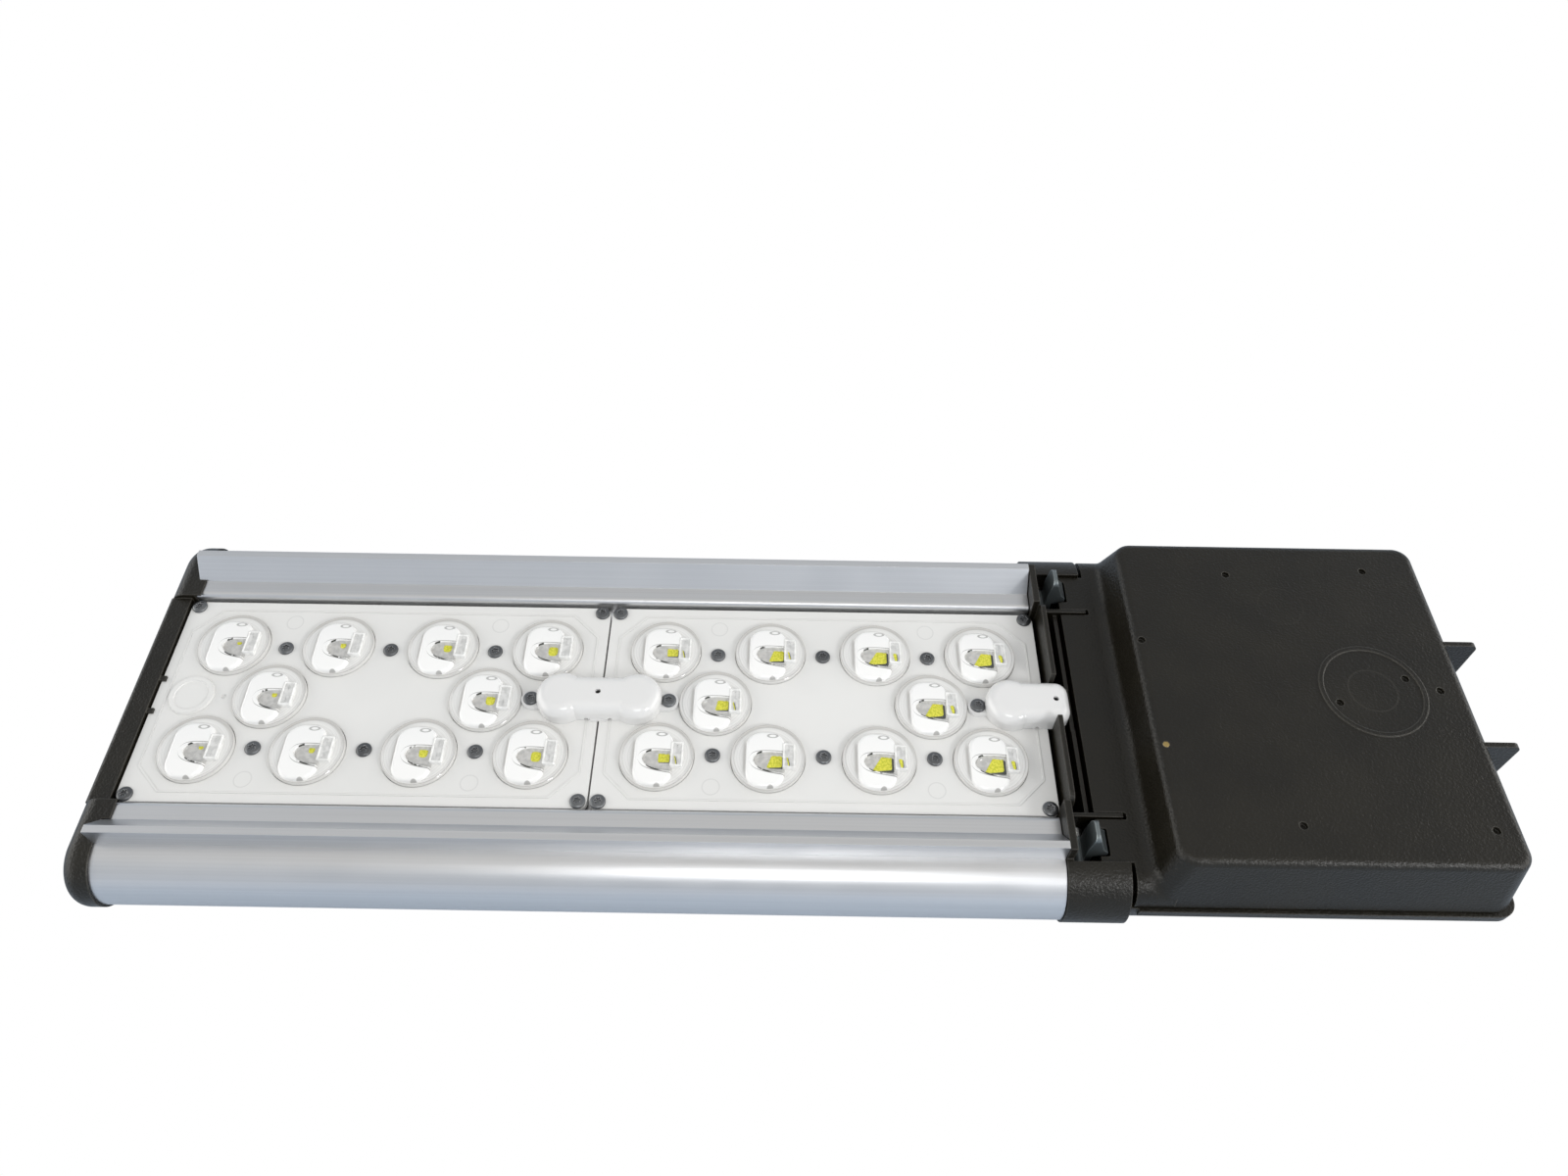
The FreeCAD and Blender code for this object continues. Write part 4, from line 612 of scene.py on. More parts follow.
class Lens:
    """Sizes of one free-form lens in millimetres from its centre, z from the drafting datum."""

    rim_r = 20.1
    cap_r = 18.2
    rim_z = 0.4
    cap_h = 0.25
    sheet_z = (-6.5, -4.5)
    body_x = (-12.2, 9.0)
    body_y = (-19.0, 15.0)
    body_corners = (9.0, 8.0)
    body_top = 3.6
    crown_r = 110.0
    eye_tip = (-4.3, -9.3)
    eye_axis = (-3.0, -0.10)
    eye_half = 6.9
    eye_bluntness = 2.0
    eye_floor = 1.0
    line_offset = 2.5
    prism_x = (7.9, 14.6)
    prism_half = 7.4
    prism_y = -0.3
    prism_top = (3.8, 3.2)
    uv_span = 50.0
    last_column = 214.0

    @classmethod
    def column_share(cls, x: np.ndarray) -> np.ndarray:
        """How far along the head a lens column stands: 0 at the cap end and 1 at the arm end."""
        return (x + cls.last_column) / (2 * cls.last_column)

    @classmethod
    def eye(cls, x: np.ndarray, y: np.ndarray, share: float) -> np.ndarray:
        """How far out a point lies in the eye, a drop shape with its tip on the left.

        With u the way from the tip along x, the half width is eye_half u / (u + eye_bluntness), to either side
        of an axis that falls slightly with u. The tip lies farther left the nearer the lens is to the arm.

        Args:
            x: places along x from the centre.
            y: places along y from the centre.
            share: the lens column's share of the way along the head.

        Returns:
            0 on the eye's long axis, 1 on its outline and more outside.
        """
        along = np.maximum(x - cls.eye_tip[0] - share * (cls.eye_tip[1] - cls.eye_tip[0]), 1e-3)
        axis = cls.eye_axis[0] + cls.eye_axis[1] * along
        return np.abs(y - axis) / (cls.eye_half * along / (along + cls.eye_bluntness))


def eye_group() -> bpy.types.NodeTree:
    """A group that gives the eye's inside, the lines round it, painted dark glints along its edges and a point's place
    from the lens centre.
    """
    outputs = {"Inside": "NodeSocketFloat", "Outline": "NodeSocketFloat", "Dark": "NodeSocketFloat",
               "Radius": "NodeSocketFloat", "X": "NodeSocketFloat", "Y": "NodeSocketFloat"}
    tree, graph = new_group("lens_eye", {}, outputs)
    uv = graph.node("ShaderNodeUVMap", uv_map="local")
    split = graph.node("ShaderNodeSeparateXYZ", {0: uv.outputs[0]})
    x = graph.math("MULTIPLY", graph.math("SUBTRACT", split.outputs[0], 0.5), Lens.uv_span)
    y = graph.math("MULTIPLY", graph.math("SUBTRACT", split.outputs[1], 0.5), Lens.uv_span)

    column = graph.node("ShaderNodeSeparateXYZ", {0: graph.node("ShaderNodeUVMap", uv_map="column").outputs[0]})
    tip = graph.math("MULTIPLY_ADD", column.outputs[0], Lens.eye_tip[1] - Lens.eye_tip[0], Lens.eye_tip[0])
    past = graph.math("SUBTRACT", x, tip)

    def measure(offset: float) -> bpy.types.NodeSocket:
        """Lens.eye as nodes, signed, with the eye's tip moved left by an offset."""
        along = graph.math("MAXIMUM", graph.math("ADD", past, offset), 0.001)
        axis = graph.math("MULTIPLY_ADD", along, Lens.eye_axis[1], Lens.eye_axis[0])
        width = graph.math("DIVIDE", graph.math("MULTIPLY", along, Lens.eye_half),
                           graph.math("ADD", along, Lens.eye_bluntness))
        return graph.math("DIVIDE", graph.math("SUBTRACT", y, axis), width)

    signed = measure(0.0)
    out = graph.math("ABSOLUTE", signed)
    inside = graph.between(out, 0.94, 1.0, 1.0, 0.0)
    round_it = graph.math("ABSOLUTE", measure(Lens.line_offset))
    line = graph.math("MULTIPLY", graph.between(round_it, 1.02, 1.06), graph.between(round_it, 1.11, 1.15, 1.0, 0.0))
    where = graph.node("ShaderNodeTexCoord").outputs["Object"]
    # painted shade: broken dark glints along the eye's lower edge and its upper left edge
    broken = graph.between(graph.noise(where, 330.0, 1.0), 0.36, 0.44)
    lower = graph.math("MULTIPLY", graph.between(signed, -0.97, -1.02), graph.between(signed, -1.20, -1.13))
    lower = graph.math("MULTIPLY", lower, graph.between(past, 2.2, 2.8))
    lower = graph.math("MULTIPLY", lower, graph.between(past, 6.5, 12.0, 1.0, 0.15))
    upper = graph.math("MULTIPLY", graph.between(signed, 0.92, 0.97), graph.between(signed, 1.16, 1.10))
    upper = graph.math("MULTIPLY", upper, graph.math("MULTIPLY", graph.between(past, 1.6, 2.2),
                                                     graph.between(past, 4.4, 5.0, 1.0, 0.0)))
    dark = graph.math("MULTIPLY", graph.math("ADD", lower, graph.math("MULTIPLY", upper, 0.8)), broken)
    radius = graph.math("SQRT", graph.math("ADD", graph.math("MULTIPLY", x, x), graph.math("MULTIPLY", y, y)))
    graph.node("NodeGroupOutput", {"Inside": inside, "Outline": line, "Dark": dark, "Radius": radius,
                                   "X": x, "Y": y})
    return tree


@dataclass(frozen=True)
class LensFinishes:
    """The materials of the lens pieces."""

    dome: bpy.types.Material
    body: bpy.types.Material
    prism: bpy.types.Material
    core: bpy.types.Material
    patch: bpy.types.Material
    shade: bpy.types.Material

    @classmethod
    def build(cls, effects: Effects) -> "LensFinishes":
        """Make the six materials."""
        eye = eye_group()
        return cls(cls._dome(eye), cls._body(eye), cls._prism("clear_prism", (0.78, 0.78, 0.76), (0.90, 0.90, 0.88)),
                   cls._prism("prism_core", (0.60, 0.60, 0.585), (0.74, 0.735, 0.72)), cls._patch(),
                   cls._shade(effects))

    @staticmethod
    def _dome(eye: bpy.types.NodeTree) -> bpy.types.Material:
        """Clear moulding over white: painted shade between the rim's lines that deepens towards +y, fine arcs, and a
        painted shadow as a grey line beside the body.
        """
        material, graph, shader = new_material("clear_dome")
        marks = graph.node("ShaderNodeGroup", node_tree=eye)
        r, x, y = marks.outputs["Radius"], marks.outputs["X"], marks.outputs["Y"]
        outer = graph.math("MULTIPLY", graph.between(r, 19.3, 19.6), graph.between(r, 19.9, 20.1, 1.0, 0.4))
        inner = graph.math("MULTIPLY", graph.between(r, 17.9, 18.2), graph.between(r, 18.3, 18.6, 1.0, 0.0))
        rings = graph.math("MAXIMUM", graph.math("MULTIPLY", outer, 0.75), graph.math("MULTIPLY", inner, 0.55))
        # painted shade: the band between the rim's lines darkens towards +y, the far side
        band = graph.math("MULTIPLY", graph.between(r, 17.0, 18.6), graph.between(y, -4.0, 15.0, 0.15, 0.75))
        waves = graph.math("SINE", graph.math("MULTIPLY", r, 4.2))
        arcs = graph.math("MULTIPLY", graph.between(waves, 0.75, 1.0), graph.between(r, 13.0, 14.0, 0.0, 0.25))
        # painted shadow: a grey line just left of the body's left wall
        beside = graph.math("MULTIPLY", graph.between(x, -13.8, -12.8), graph.between(x, -12.4, -11.8, 1.0, 0.0))
        beside = graph.math("MULTIPLY", beside, graph.between(graph.math("ABSOLUTE", y), 6.0, 12.0, 0.55, 0.0))
        shade = graph.math("MAXIMUM", graph.math("MAXIMUM", rings, band), graph.math("MAXIMUM", arcs, beside))
        base = graph.mix(shade, (0.80, 0.795, 0.775), (0.46, 0.445, 0.42))
        join(graph, shader, {"Base Color": base, "Roughness": 0.09, "Coat Weight": 0.4})
        return material

    @staticmethod
    def _body(eye: bpy.types.NodeTree) -> bpy.types.Material:
        """Bright refractor: white, with the grey eye, the lines round it and the small marks at both ends, painted
        shade along its left wall and lower end, and painted dark glints by the eye.
        """
        material, graph, shader = new_material("clear_body")
        marks = graph.node("ShaderNodeGroup", node_tree=eye)
        x, y = marks.outputs["X"], marks.outputs["Y"]
        where = graph.node("ShaderNodeTexCoord").outputs["Object"]
        clouds = graph.between(graph.noise(where, 420.0, 3.0), 0.35, 0.65)
        grey = graph.mix(clouds, (0.50, 0.495, 0.48), (0.62, 0.61, 0.59))
        base = graph.mix(marks.outputs["Inside"], (0.92, 0.915, 0.90), grey)
        # painted shade: the left wall and the lower end are drawn darker grey
        edge = graph.math("MAXIMUM", graph.between(x, -11.3, -12.0), graph.between(y, -17.0, -19.0, 0.0, 0.5))
        base = graph.mix(graph.math("MULTIPLY", edge, 0.7), base, (0.50, 0.50, 0.50))
        clip = LensFinishes._oval_line(graph, x, y, (2.4, 11.6), (2.5, 1.15), 0.36)
        notch = graph.between(LensFinishes._oval(graph, x, y, (1.6, -19.3), (1.9, 2.2)), 0.8, 1.1, 1.0, 0.0)
        line = graph.math("MAXIMUM", graph.math("MULTIPLY", clip, 0.8), graph.math("MULTIPLY", notch, 0.9))
        line = graph.math("MAXIMUM", line, graph.math("MULTIPLY", marks.outputs["Outline"], 0.95))
        base = graph.mix(line, base, (0.38, 0.375, 0.36))
        # painted shade: the eye's dark glints, drawn near black
        base = graph.mix(graph.math("MULTIPLY", marks.outputs["Dark"], 1.4, clamp=True), base, (0.03, 0.032, 0.025))
        join(graph, shader, {"Base Color": base, "Roughness": 0.06, "Coat Weight": 0.5})
        return material

    @staticmethod
    def _oval(graph: Graph, x: bpy.types.NodeSocket, y: bpy.types.NodeSocket, centre: tuple[float, float],
              reach: tuple[float, float]) -> bpy.types.NodeSocket:
        """How far out a point lies in an oval: 1 on its outline."""
        across = graph.math("DIVIDE", graph.math("SUBTRACT", x, centre[0]), reach[0])
        along = graph.math("DIVIDE", graph.math("SUBTRACT", y, centre[1]), reach[1])
        return graph.math("SQRT", graph.math("ADD", graph.math("MULTIPLY", across, across),
                                             graph.math("MULTIPLY", along, along)))

    @staticmethod
    def _oval_line(graph: Graph, x: bpy.types.NodeSocket, y: bpy.types.NodeSocket, centre: tuple[float, float],
                   reach: tuple[float, float], width: float) -> bpy.types.NodeSocket:
        """A line round an oval, width being a share of its reach."""
        off = graph.math("ABSOLUTE", graph.math("SUBTRACT", LensFinishes._oval(graph, x, y, centre, reach), 1.0))
        return graph.between(off, width * 0.5, width, 1.0, 0.0)

    @staticmethod
    def _prism(name: str, darker: Color, lighter: Color) -> bpy.types.Material:
        """The side prism, its bright frame or its grey inside, with faint clouds between two colours."""
        material, graph, shader = new_material(name)
        where = graph.node("ShaderNodeTexCoord").outputs["Object"]
        clouds = graph.between(graph.noise(where, 350.0, 2.0), 0.35, 0.65)
        join(graph, shader, {"Base Color": graph.mix(clouds, darker, lighter), "Roughness": 0.08,
                             "Coat Weight": 0.5})
        return material

    @staticmethod
    def _patch() -> bpy.types.Material:
        """The phosphor as the lens shows it: yellow-green with fine mottling."""
        material, graph, shader = new_material("phosphor_patch")
        where = graph.node("ShaderNodeTexCoord").outputs["Object"]
        mottled = graph.between(graph.noise(where, 900.0, 2.0), 0.35, 0.65)
        join(graph, shader, {"Base Color": graph.mix(mottled, (0.56, 0.57, 0.03), (0.80, 0.76, 0.08)),
                             "Roughness": 0.25, "Coat Weight": 0.3})
        return material

    @staticmethod
    def _shade(effects: Effects) -> bpy.types.Material:
        """Dark glints beside the phosphor."""
        return Finish("dark_glint", (0.06, 0.065, 0.06), (0.1, 0.1, 0.1), roughness=0.2).build(effects)


# Optics


@dataclass(frozen=True)
class LensArray:
    """The ten free-form lenses of one plate, in place of its clear sheet and its LED chips.

    pitch is between lens columns, row the y of the outer rows, plate the plate's size in millimetres.
    """

    side: Side
    pitch: float = 60.0
    row: float = 33.93
    plate: tuple[float, float] = (242.0, 124.7)
    plate_centre: float = 124.0
    round_steps: int = 96
    body_rings: int = 34

    @property
    def centres(self) -> np.ndarray:
        """The lens centres: four in each outer row and two in the middle row."""
        columns = [(i - 1.5) * self.pitch for i in range(4)]
        flat = [(x, s * self.row) for s in (-1, 1) for x in columns] + [(s * self.pitch, 0.0) for s in (-1, 1)]
        return np.array([(x + self.side.sign * self.plate_centre, y, 0.0) for x, y in flat])

    def build(self, datum: Datum, finishes: LensFinishes) -> list[bpy.types.Object]:
        """Build domes, bodies, prisms and phosphor patches, and let them stand for the CAD's sheet and chips.

        Args:
            datum: the drafting point.
            finishes: the lens materials.

        Returns:
            The pieces.
        """
        word, centres = self.side.value, self.centres
        domes = Surface().add_at(self._dome(), centres)
        hx, hy = self.plate[0] / 2, self.plate[1] / 2
        cx = self.side.sign * self.plate_centre
        domes.add_box((cx - hx, -hy, Lens.sheet_z[0]), (cx + hx, hy, Lens.sheet_z[1]))
        pieces = [domes.to_object("lens_domes_" + word, datum.at, [finishes.dome])]
        bodies = Surface()
        for centre in centres:
            bodies.add_at(self._body(float(Lens.column_share(centre[0]))), [centre])
        pieces.append(bodies.to_object("lens_bodies_" + word, datum.at, [finishes.body], math.radians(50)))
        for made in pieces:
            set_local_uv(made, centres, datum, Lens.uv_span)
        prisms = Surface().add_at(self._prism(), centres)
        pieces.append(prisms.to_object("lens_prisms_" + word, datum.at, [finishes.prism, finishes.core]))
        patches = Surface()
        for centre in centres:
            patches.add_at(self._patch(centre[0]), [centre])
        pieces.append(patches.to_object("led_patches_" + word, datum.at, [finishes.patch, finishes.shade]))
        for made in pieces:
            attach(made, HEAD_BODY)
        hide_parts("lens_sheet_" + word)
        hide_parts("leds_" + word)
        log.info("lens array %s: %d lenses", word, len(centres))
        return pieces

    def _dome(self) -> Surface:
        """Rim and low dome: z rises with 1 - (r / R) squared inside the rim."""
        profile = [(Lens.rim_r, Lens.sheet_z[1]), (Lens.rim_r, Lens.rim_z - 0.25), (Lens.rim_r - 0.25, Lens.rim_z),
                   (Lens.cap_r + 0.9, Lens.rim_z), (Lens.cap_r + 0.5, Lens.rim_z - 0.2), (Lens.cap_r + 0.1, Lens.rim_z)]
        for r in np.linspace(Lens.cap_r, 0.0, 16):
            profile.append((r, Lens.rim_z + 0.05 + (Lens.cap_h - 0.05) * (1 - (r / Lens.cap_r) ** 2)))
        return turned(profile, self.round_steps)

    def _body(self, share: float) -> Surface:
        """Crowned body with the eye sunk into it.

        Each ring is the outline drawn in towards the middle. The top is a cylinder about x, the rim falls off as
        a quarter round, and the eye goes down as a smooth step of its own measure.

        Args:
            share: the lens column's share of the way along the head.
        """
        low, high = Lens.body_y
        outline = rounded_outline(*Lens.body_x, (high - low) / 2, Lens.body_corners, self.round_steps // 8)
        outline[:, 1] += (high + low) / 2
        middle = np.array([sum(Lens.body_x) / 2, (high + low) / 2])
        rows = []
        edge = 2.4
        for t in np.linspace(1.0, 0.0, self.body_rings) ** 1.15:
            flat = middle + (outline - middle) * t
            gap = np.linalg.norm(outline - flat, axis=1)
            fall = np.where(gap < edge, edge - np.sqrt(np.maximum(edge ** 2 - (edge - gap) ** 2, 0)), 0.0)
            crown = Lens.crown_r - np.sqrt(Lens.crown_r ** 2 - flat[:, 1] ** 2)
            eye = np.clip((1.04 - Lens.eye(flat[:, 0], flat[:, 1], share)) / 0.3, 0, 1)
            z = Lens.body_top - crown - fall
            z = z - (z - Lens.eye_floor) * eye * eye * (3 - 2 * eye)
            rows.append(np.column_stack([flat, np.maximum(z, Lens.rim_z - 0.6)]))
        grid = np.array(rows)
        foot = grid[:1].copy()
        foot[..., 2] = Lens.rim_z - 0.6
        return Surface().add_grid(np.concatenate([foot, grid]), wrap=True)

    @staticmethod
    def _prism() -> Surface:
        """Side prism: a block with a sloped top that carries a raised frame round a sunken rectangle."""
        (x0, x1), half, (z0, z1) = Lens.prism_x, Lens.prism_half, Lens.prism_top
        rings = []
        for inset, drop in ((0.0, -4.0), (0.0, -0.4), (0.3, 0.0), (0.85, 0.0), (1.1, -0.5), (3.0, -0.55)):
            outline = rounded_outline(x0 + inset, x1 - inset, half - inset, (0.6, 0.6), 4)
            outline[:, 1] += Lens.prism_y
            slope = z0 + (z1 - z0) * (outline[:, 0] - x0) / (x1 - x0)
            z = slope + drop if drop > -3 else np.full(len(outline), Lens.rim_z)
            rings.append(np.column_stack([outline, z]))
        last = rings[-1]
        rings.append(np.repeat(last.mean(axis=0)[None], len(last), 0))
        made = Surface().add_grid(np.array(rings[:5]), wrap=True)
        return made.add_grid(np.array(rings[4:]), wrap=True, mark=1)

    def _patch(self, x: float) -> Surface:
        """The phosphor as the lens shows it: small and round far from the arm, wide with a point near it, with painted
        shade beside it near the arm.

        Args:
            x: the lens centre's x, in millimetres from the datum.
        """
        share = float(Lens.column_share(x))
        right = np.interp(share, (0, 0.14, 0.6, 0.72, 0.86, 1), (5.2, 5.0, 7.5, 7.7, 6.5, 6.3))
        top = np.interp(share, (0, 0.28, 0.42, 0.58, 0.72, 1), (2.0, 1.8, 0.8, 1.2, 0.4, 1.4))
        bottom = np.interp(share, (0, 0.14, 0.28, 0.42, 0.58, 0.72, 0.86), (-1.3, -2.5, -4.0, -5.5, -4.6, -6.6, -7.3))
        left = np.interp(share, (0, 0.14, 0.28, 0.58, 0.72, 0.86), (2.5, 1.8, 1.0, 1.2, 1.9, 1.0))
        point = np.interp(share, (0.58, 0.72, 0.86), (0.0, 2.7, 5.5))
        lift = np.interp(share, (0.6, 0.9), (0.0, 1.0))
        floor = Lens.eye_floor + 0.1
        made = Surface()

        def pad(corners: Sequence[tuple[float, float]], r: float, z: float, mark: int) -> None:
            """One low pad inside four corners, given counter-clockwise from the lower right."""
            outline = smooth_polygon(corners, r)
            middle = outline.mean(axis=0)
            rings = []
            for scale, rise in ((1.0, -0.6), (1.0, 0.0), (0.9, 0.12), (0.5, 0.16), (0.0, 0.16)):
                rings.append(np.column_stack([middle + (outline - middle) * scale, np.full(len(outline), z + rise)]))
            made.add_grid(np.array(rings), wrap=True, mark=mark)

        pad([(right, bottom), (right, top), (left, top), (left - point, bottom - lift)],
            0.42 if share < 0.5 else 0.14, floor, 0)
        if share > 0.5:
            # painted shade: a dark pad showing to the right of and below the phosphor
            thin, below = 0.3 + 0.7 * lift, 0.35 + 1.6 * lift
            pad([(right + thin, bottom - below), (right + thin, top - 0.2), (right - 1.0, top - 0.5),
                 (left - point + 2.0 * lift, bottom - lift - 0.3)], 0.12, floor - 0.1, 1)
            level = Lens.prism_top[0] - 0.5
            thick = np.interp(share, (0.58, 0.72, 0.86), (0.5, 0.8, 2.4))
            x0 = Lens.prism_x[0] + 1.9
            pad([(x0 + 1.5, -7.6), (x0 + 1.3 + thick * 0.5, -6.2), (x0 + thick * 0.9, -1.6), (x0, -1.6)],
                0.3, level, 0)
            # painted shade: a dark pad beside the phosphor sliver on the prism
            pad([(x0 + 1.7, -7.8), (x0 + 1.7 + thick * 0.5, -6.2), (x0 + thick * 0.9 + 0.35, -1.9),
                 (x0 + 0.5, -1.9)], 0.3, level - 0.06, 1)
        return made


@dataclass(frozen=True)
class PanScrews:
    """Pan head screws with a six-lobed recess."""

    name: str
    replaces: str
    seat_z: float
    head_h = 2.0
    head_r = 4.2
    shank_r = 2.0
    recess_r = 1.75
    lobe = 0.38
    recess_depth = 1.3

    def build(self, datum: Datum, centres: np.ndarray, material: bpy.types.Material, turns: float) -> bpy.types.Object:
        """Build a screw at each centre.

        The head's height falls from its middle as a shallow dome. The recess is where r is less than
        R + lobe cos 6a, with a the angle about the screw's axis.

        Args:
            datum: the drafting point.
            centres: (k, 2) places in millimetres.
            material: their finish.
            turns: how far each following screw is turned, in radians.

        Returns:
            The piece.
        """
        made = Surface()
        for i, (x, y) in enumerate(centres):
            made.add_at(self._head(i * turns), np.array([(x, y, self.seat_z)]))
        piece = made.to_object(self.name, datum.at, [material], math.radians(40))
        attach(piece, HEAD_BODY)
        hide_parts(self.replaces)
        log.info("screws %s: %d", self.name, len(centres))
        return piece

    def _head(self, turn: float) -> Surface:
        """One head with its recess and a short stub of shank."""
        steps = 48
        angle = np.linspace(0, 2 * math.pi, steps, endpoint=False)
        lobes = self.recess_r + self.lobe * np.cos(6 * (angle + turn))
        rows = [(np.full(steps, self.shank_r), np.full(steps, -4.0)), (np.full(steps, self.shank_r), np.zeros(steps)),
                (np.full(steps, self.head_r), np.zeros(steps)), (np.full(steps, self.head_r), np.full(steps, 0.9))]
        for r in np.linspace(self.head_r, 2.6, 7)[1:]:
            rise = self.head_h - 0.95 * (r / self.head_r) ** 3.2
            rows.append((np.full(steps, r), np.full(steps, rise)))
        top = self.head_h - 0.22
        rows.append((lobes + 0.12, np.full(steps, top)))
        rows.append((lobes, np.full(steps, top - 0.12)))
        rows.append((lobes * 0.92, np.full(steps, top - self.recess_depth)))
        rows.append((np.full(steps, 0.0), np.full(steps, top - self.recess_depth - 0.25)))
        grid = np.stack([np.stack([r * np.cos(angle), r * np.sin(angle), z], -1) for r, z in rows])
        return Surface().add_grid(grid, wrap=True)


@dataclass(frozen=True)
class ScrewPattern:
    """Where the screws of the plates and of the wire covers stand, in millimetres from the datum."""

    plate_centre: float = 124.0
    corner: tuple[float, float] = (118.7, 60.9)
    row: tuple[float, float] = (60.0, 32.48)
    ear: float = 85.8

    def plate(self, side: Side) -> np.ndarray:
        """The ten screws of one plate."""
        cx = side.sign * self.plate_centre
        corners = [(cx + s * self.corner[0], t * self.corner[1]) for s in (-1, 1) for t in (-1, 1)]
        rows = [(cx + i * self.row[0], s * self.row[1]) for s in (-1, 1) for i in (-1, 0, 1)]
        return np.array(corners + rows)

    def covers(self) -> np.ndarray:
        """The three screws of the wire covers."""
        near = self.plate_centre - self.ear
        return np.array([(-near, 0.0), (near, 0.0), (self.plate_centre + self.ear, 0.0)])


# Dressing of the CAD nodes


@dataclass(frozen=True)
class Dressing:
    """Which finish each material slot of the record gets."""

    finishes: dict[str, Union[Finish, AnodisedFinish]]

    @classmethod
    def standard(cls) -> "Dressing":
        """The finishes as the photo shows them."""
        # each finish's edge_color is its painted edge highlight; on the marked plate it only draws the ejector rings
        bronze = Finish("bronze_paint", (0.0085, 0.0070, 0.0038), (0.12, 0.112, 0.095), roughness=0.34,
                        specular=0.36, grain_scale=800.0, grain_bump=0.75, clouds=0.18, edge_radius=0.0009,
                        edge_strength=0.6, mark="Cast", mark_strength=0.10)
        steel = Finish("screw_steel", (0.15, 0.155, 0.16), (0.55, 0.55, 0.56), roughness=0.30, metallic=0.9,
                       grain_scale=2200.0, clouds=0.2, edge_radius=0.0004, edge_strength=0.9)
        plate = Finish("white_plate", (0.775, 0.77, 0.75), (0.82, 0.815, 0.80), roughness=0.42,
                       grain_scale=1600.0, grain_bump=0.06, clouds=0.012, edge_radius=0.0004)
        marked = replace(plate, name="marked_plate", edge_color=(0.60, 0.595, 0.58), edge_strength=0.0,
                         mark="Ejector", mark_strength=0.5)
        finishes = {
            "anodised_aluminium": AnodisedFinish("anodised_aluminium", (0.70, 0.705, 0.715)),
            "bronze_paint": bronze,
            "white_plate": marked,
            "white_cover": Finish("white_cover", (0.755, 0.75, 0.74), (0.86, 0.86, 0.85), roughness=0.14, coat=0.7,
                                  grain_bump=0.01, clouds=0.01),
            "clear_optic": plate,
            "board_white": Finish("board_white", (0.70, 0.71, 0.66), (0.8, 0.8, 0.78), roughness=0.5),
            "phosphor": Finish("phosphor", (0.60, 0.60, 0.05), (0.7, 0.7, 0.1), roughness=0.5),
            "seal_rubber": Finish("seal_rubber", (0.012, 0.012, 0.012), (0.03, 0.03, 0.03), roughness=0.65,
                                  grain_scale=1200.0, grain_bump=0.2),
            "screw_steel": steel,
            "latch_steel": Finish("latch_steel", (0.15, 0.17, 0.175), (0.50, 0.56, 0.57), roughness=0.40,
                                  metallic=0.75, grain_scale=1500.0, clouds=0.12, edge_radius=0.0009,
                                  edge_strength=0.8),
            "bolt_steel": Finish("bolt_steel", (0.45, 0.45, 0.44), (0.6, 0.6, 0.6), roughness=0.32, metallic=1.0,
                                 clouds=0.12),
            "driver_case": Finish("driver_case", (0.60, 0.60, 0.59), (0.75, 0.75, 0.75), roughness=0.4,
                                  metallic=1.0, grain_scale=1500.0),
            "brass": Finish("brass", (0.50, 0.36, 0.14), (0.8, 0.66, 0.4), roughness=0.35, metallic=1.0),
            "terminal_plastic": Finish("terminal_plastic", (0.03, 0.03, 0.034), (0.07, 0.07, 0.075),
                                       roughness=0.45, grain_scale=1500.0, grain_bump=0.1),
            "surge_plastic": Finish("surge_plastic", (0.26, 0.27, 0.29), (0.38, 0.39, 0.41), roughness=0.5,
                                    grain_scale=1500.0, grain_bump=0.1),
        }
        return cls(finishes)

    def apply(self, effects: Effects) -> dict[str, bpy.types.Material]:
        """Put each slot's material on its CAD nodes.

        Args:
            effects: the shared node groups.

        Returns:
            The materials by slot.
        """
        materials = {slot: finish.build(effects) for slot, finish in self.finishes.items()}
        for row in frame["record"]["subparts"]:
            node = frame["nodes"][row["node"]]
            node.data.materials.clear()
            node.data.materials.append(materials[row["material_slot"]])
        return materials


# Studio


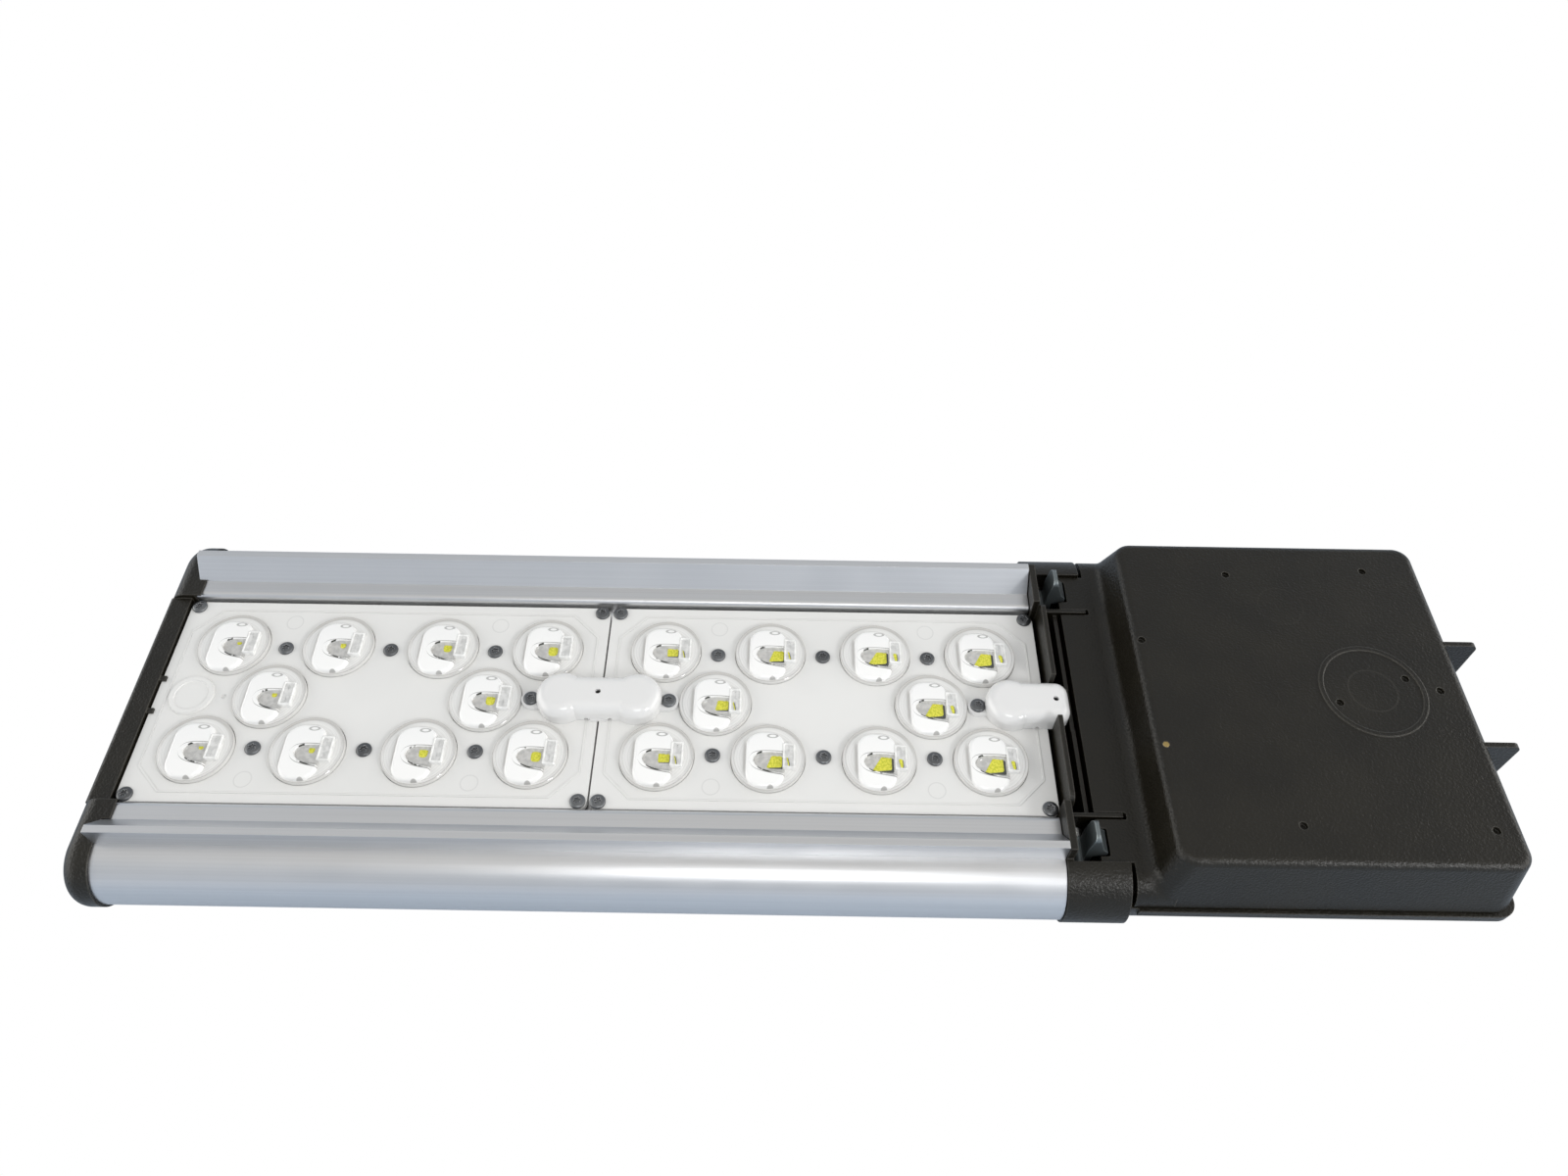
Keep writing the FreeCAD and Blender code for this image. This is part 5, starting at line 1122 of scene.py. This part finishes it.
@dataclass(frozen=True)
class Studio:
    """Camera, floor, lamps and world."""

    lens_mm: float = 25.9455
    sensor_mm: float = 36.0
    turn: tuple[float, float, float] = (2.4906, 0.0201, 0.0069)
    place: tuple[float, float, float] = (-0.3359, -0.3294, 0.5584)
    floor_size: float = 6.0
    floor_gap: float = 0.0002

    def build(self) -> None:
        """Set the whole stage up."""
        scene = bpy.context.scene
        scene.view_settings.view_transform = "Standard"
        self._camera(scene)
        self._floor(scene)
        self._world(scene)
        self._lamp(scene, "key", (-0.33, -0.74, 1.12), 2.4, 0.50)
        self._lamp(scene, "right", (0.77, -1.06, 1.02), 8.0, 0.35)
        log.info("studio ready")

    def _camera(self, scene: bpy.types.Scene) -> None:
        """Stand the camera where the photo was taken from, by a turn vector whose length is the angle."""
        data = bpy.data.cameras.new("camera")
        camera = bpy.data.objects.new("camera", data)
        scene.collection.objects.link(camera)
        scene.camera = camera
        data.sensor_width, data.lens, data.clip_start = self.sensor_mm, self.lens_mm, 0.01
        axis = np.array(self.turn)
        angle = float(np.linalg.norm(axis))
        rows = Matrix.Rotation(angle, 3, Vector(axis / angle))
        pose = Matrix((Vector(rows[0]), -Vector(rows[1]), -Vector(rows[2]))).transposed().to_4x4()
        pose.translation = Vector(self.place)
        camera.matrix_world = pose

    def _floor(self, scene: bpy.types.Scene) -> None:
        """A plain pale floor that the camera sees white."""
        reach, z = self.floor_size, CAD_BOX[0].z - self.floor_gap
        mesh = bpy.data.meshes.new("floor")
        mesh.from_pydata([(-reach, -reach, z), (reach, -reach, z), (reach, reach, z), (-reach, reach, z)], [],
                         [(0, 1, 2, 3)])
        floor = bpy.data.objects.new("floor", mesh)
        scene.collection.objects.link(floor)
        material, graph, shader = new_material("floor")
        join(graph, shader, {"Base Color": (0.50, 0.57, 0.66), "Roughness": 0.9})
        path = graph.node("ShaderNodeLightPath")
        glow = graph.node("ShaderNodeEmission", {"Color": (1.0, 1.0, 1.0), "Strength": 1.0})
        mix = graph.node("ShaderNodeMixShader", {0: path.outputs["Is Camera Ray"], 1: shader.outputs[0],
                                                 2: glow.outputs[0]})
        out = next(n for n in material.node_tree.nodes if n.type == "OUTPUT_MATERIAL")
        material.node_tree.links.new(mix.outputs[0], out.inputs[0])
        mesh.materials.append(material)

    @staticmethod
    def _world(scene: bpy.types.Scene) -> None:
        """A pale room: bright overhead, past both ends of the head and low down, greyer between."""
        world = bpy.data.worlds.new("studio")
        scene.world = world
        world.use_nodes = True
        graph = Graph(world.node_tree)
        world.node_tree.nodes.clear()
        where = graph.node("ShaderNodeTexCoord").outputs["Generated"]
        x, _, z = graph.node("ShaderNodeSeparateXYZ", {0: where}).outputs
        low = graph.mix(graph.between(z, 0.10, 0.40), (0.70, 0.76, 0.85), (0.54, 0.57, 0.61))
        room = graph.mix(graph.between(z, 0.70, 0.92), low, (0.72, 0.71, 0.69))
        room = graph.mix(graph.between(graph.math("ABSOLUTE", x), 0.70, 0.88), room, (2.5, 2.46, 2.38))
        light = graph.node("ShaderNodeBackground", {"Color": room, "Strength": 1.0})
        white = graph.node("ShaderNodeBackground", {"Color": (1.0, 1.0, 1.0), "Strength": 1.0})
        path = graph.node("ShaderNodeLightPath")
        mix = graph.node("ShaderNodeMixShader", {0: path.outputs["Is Camera Ray"], 1: light.outputs[0],
                                                 2: white.outputs[0]})
        graph.node("ShaderNodeOutputWorld", {0: mix.outputs[0]})

    @staticmethod
    def _lamp(scene: bpy.types.Scene, name: str, place: tuple[float, float, float], watts: float,
              size: float) -> None:
        """A square area lamp that looks at the head's middle."""
        data = bpy.data.lights.new(name, "AREA")
        data.energy, data.size = watts, size
        lamp = bpy.data.objects.new(name, data)
        lamp.location = place
        lamp.rotation_euler = (Vector(place) - Vector((-0.33, 0.0, 0.0))).to_track_quat("Z", "Y").to_euler()
        scene.collection.objects.link(lamp)


def main() -> None:
    """Build and dress the head piece by piece."""
    datum = Datum.from_frame()
    log.info("datum %s", datum)
    effects = Effects(datum)
    materials = Dressing.standard().apply(effects)
    lens_finishes = LensFinishes.build(effects)
    pattern = ScrewPattern()
    for side in Side:
        LensArray(side).build(datum, lens_finishes)
        PanScrews("pan_screws_" + side.value, "plate_screws_" + side.value, -2.0).build(
            datum, pattern.plate(side), materials["screw_steel"], 0.37)
    PanScrews("cover_pan_screws", "cover_screws", 0.8).build(datum, pattern.covers(), materials["screw_steel"], 0.5)
    Studio().build()


if __name__ == "__main__":
    logging.basicConfig(level=logging.INFO)
    main()
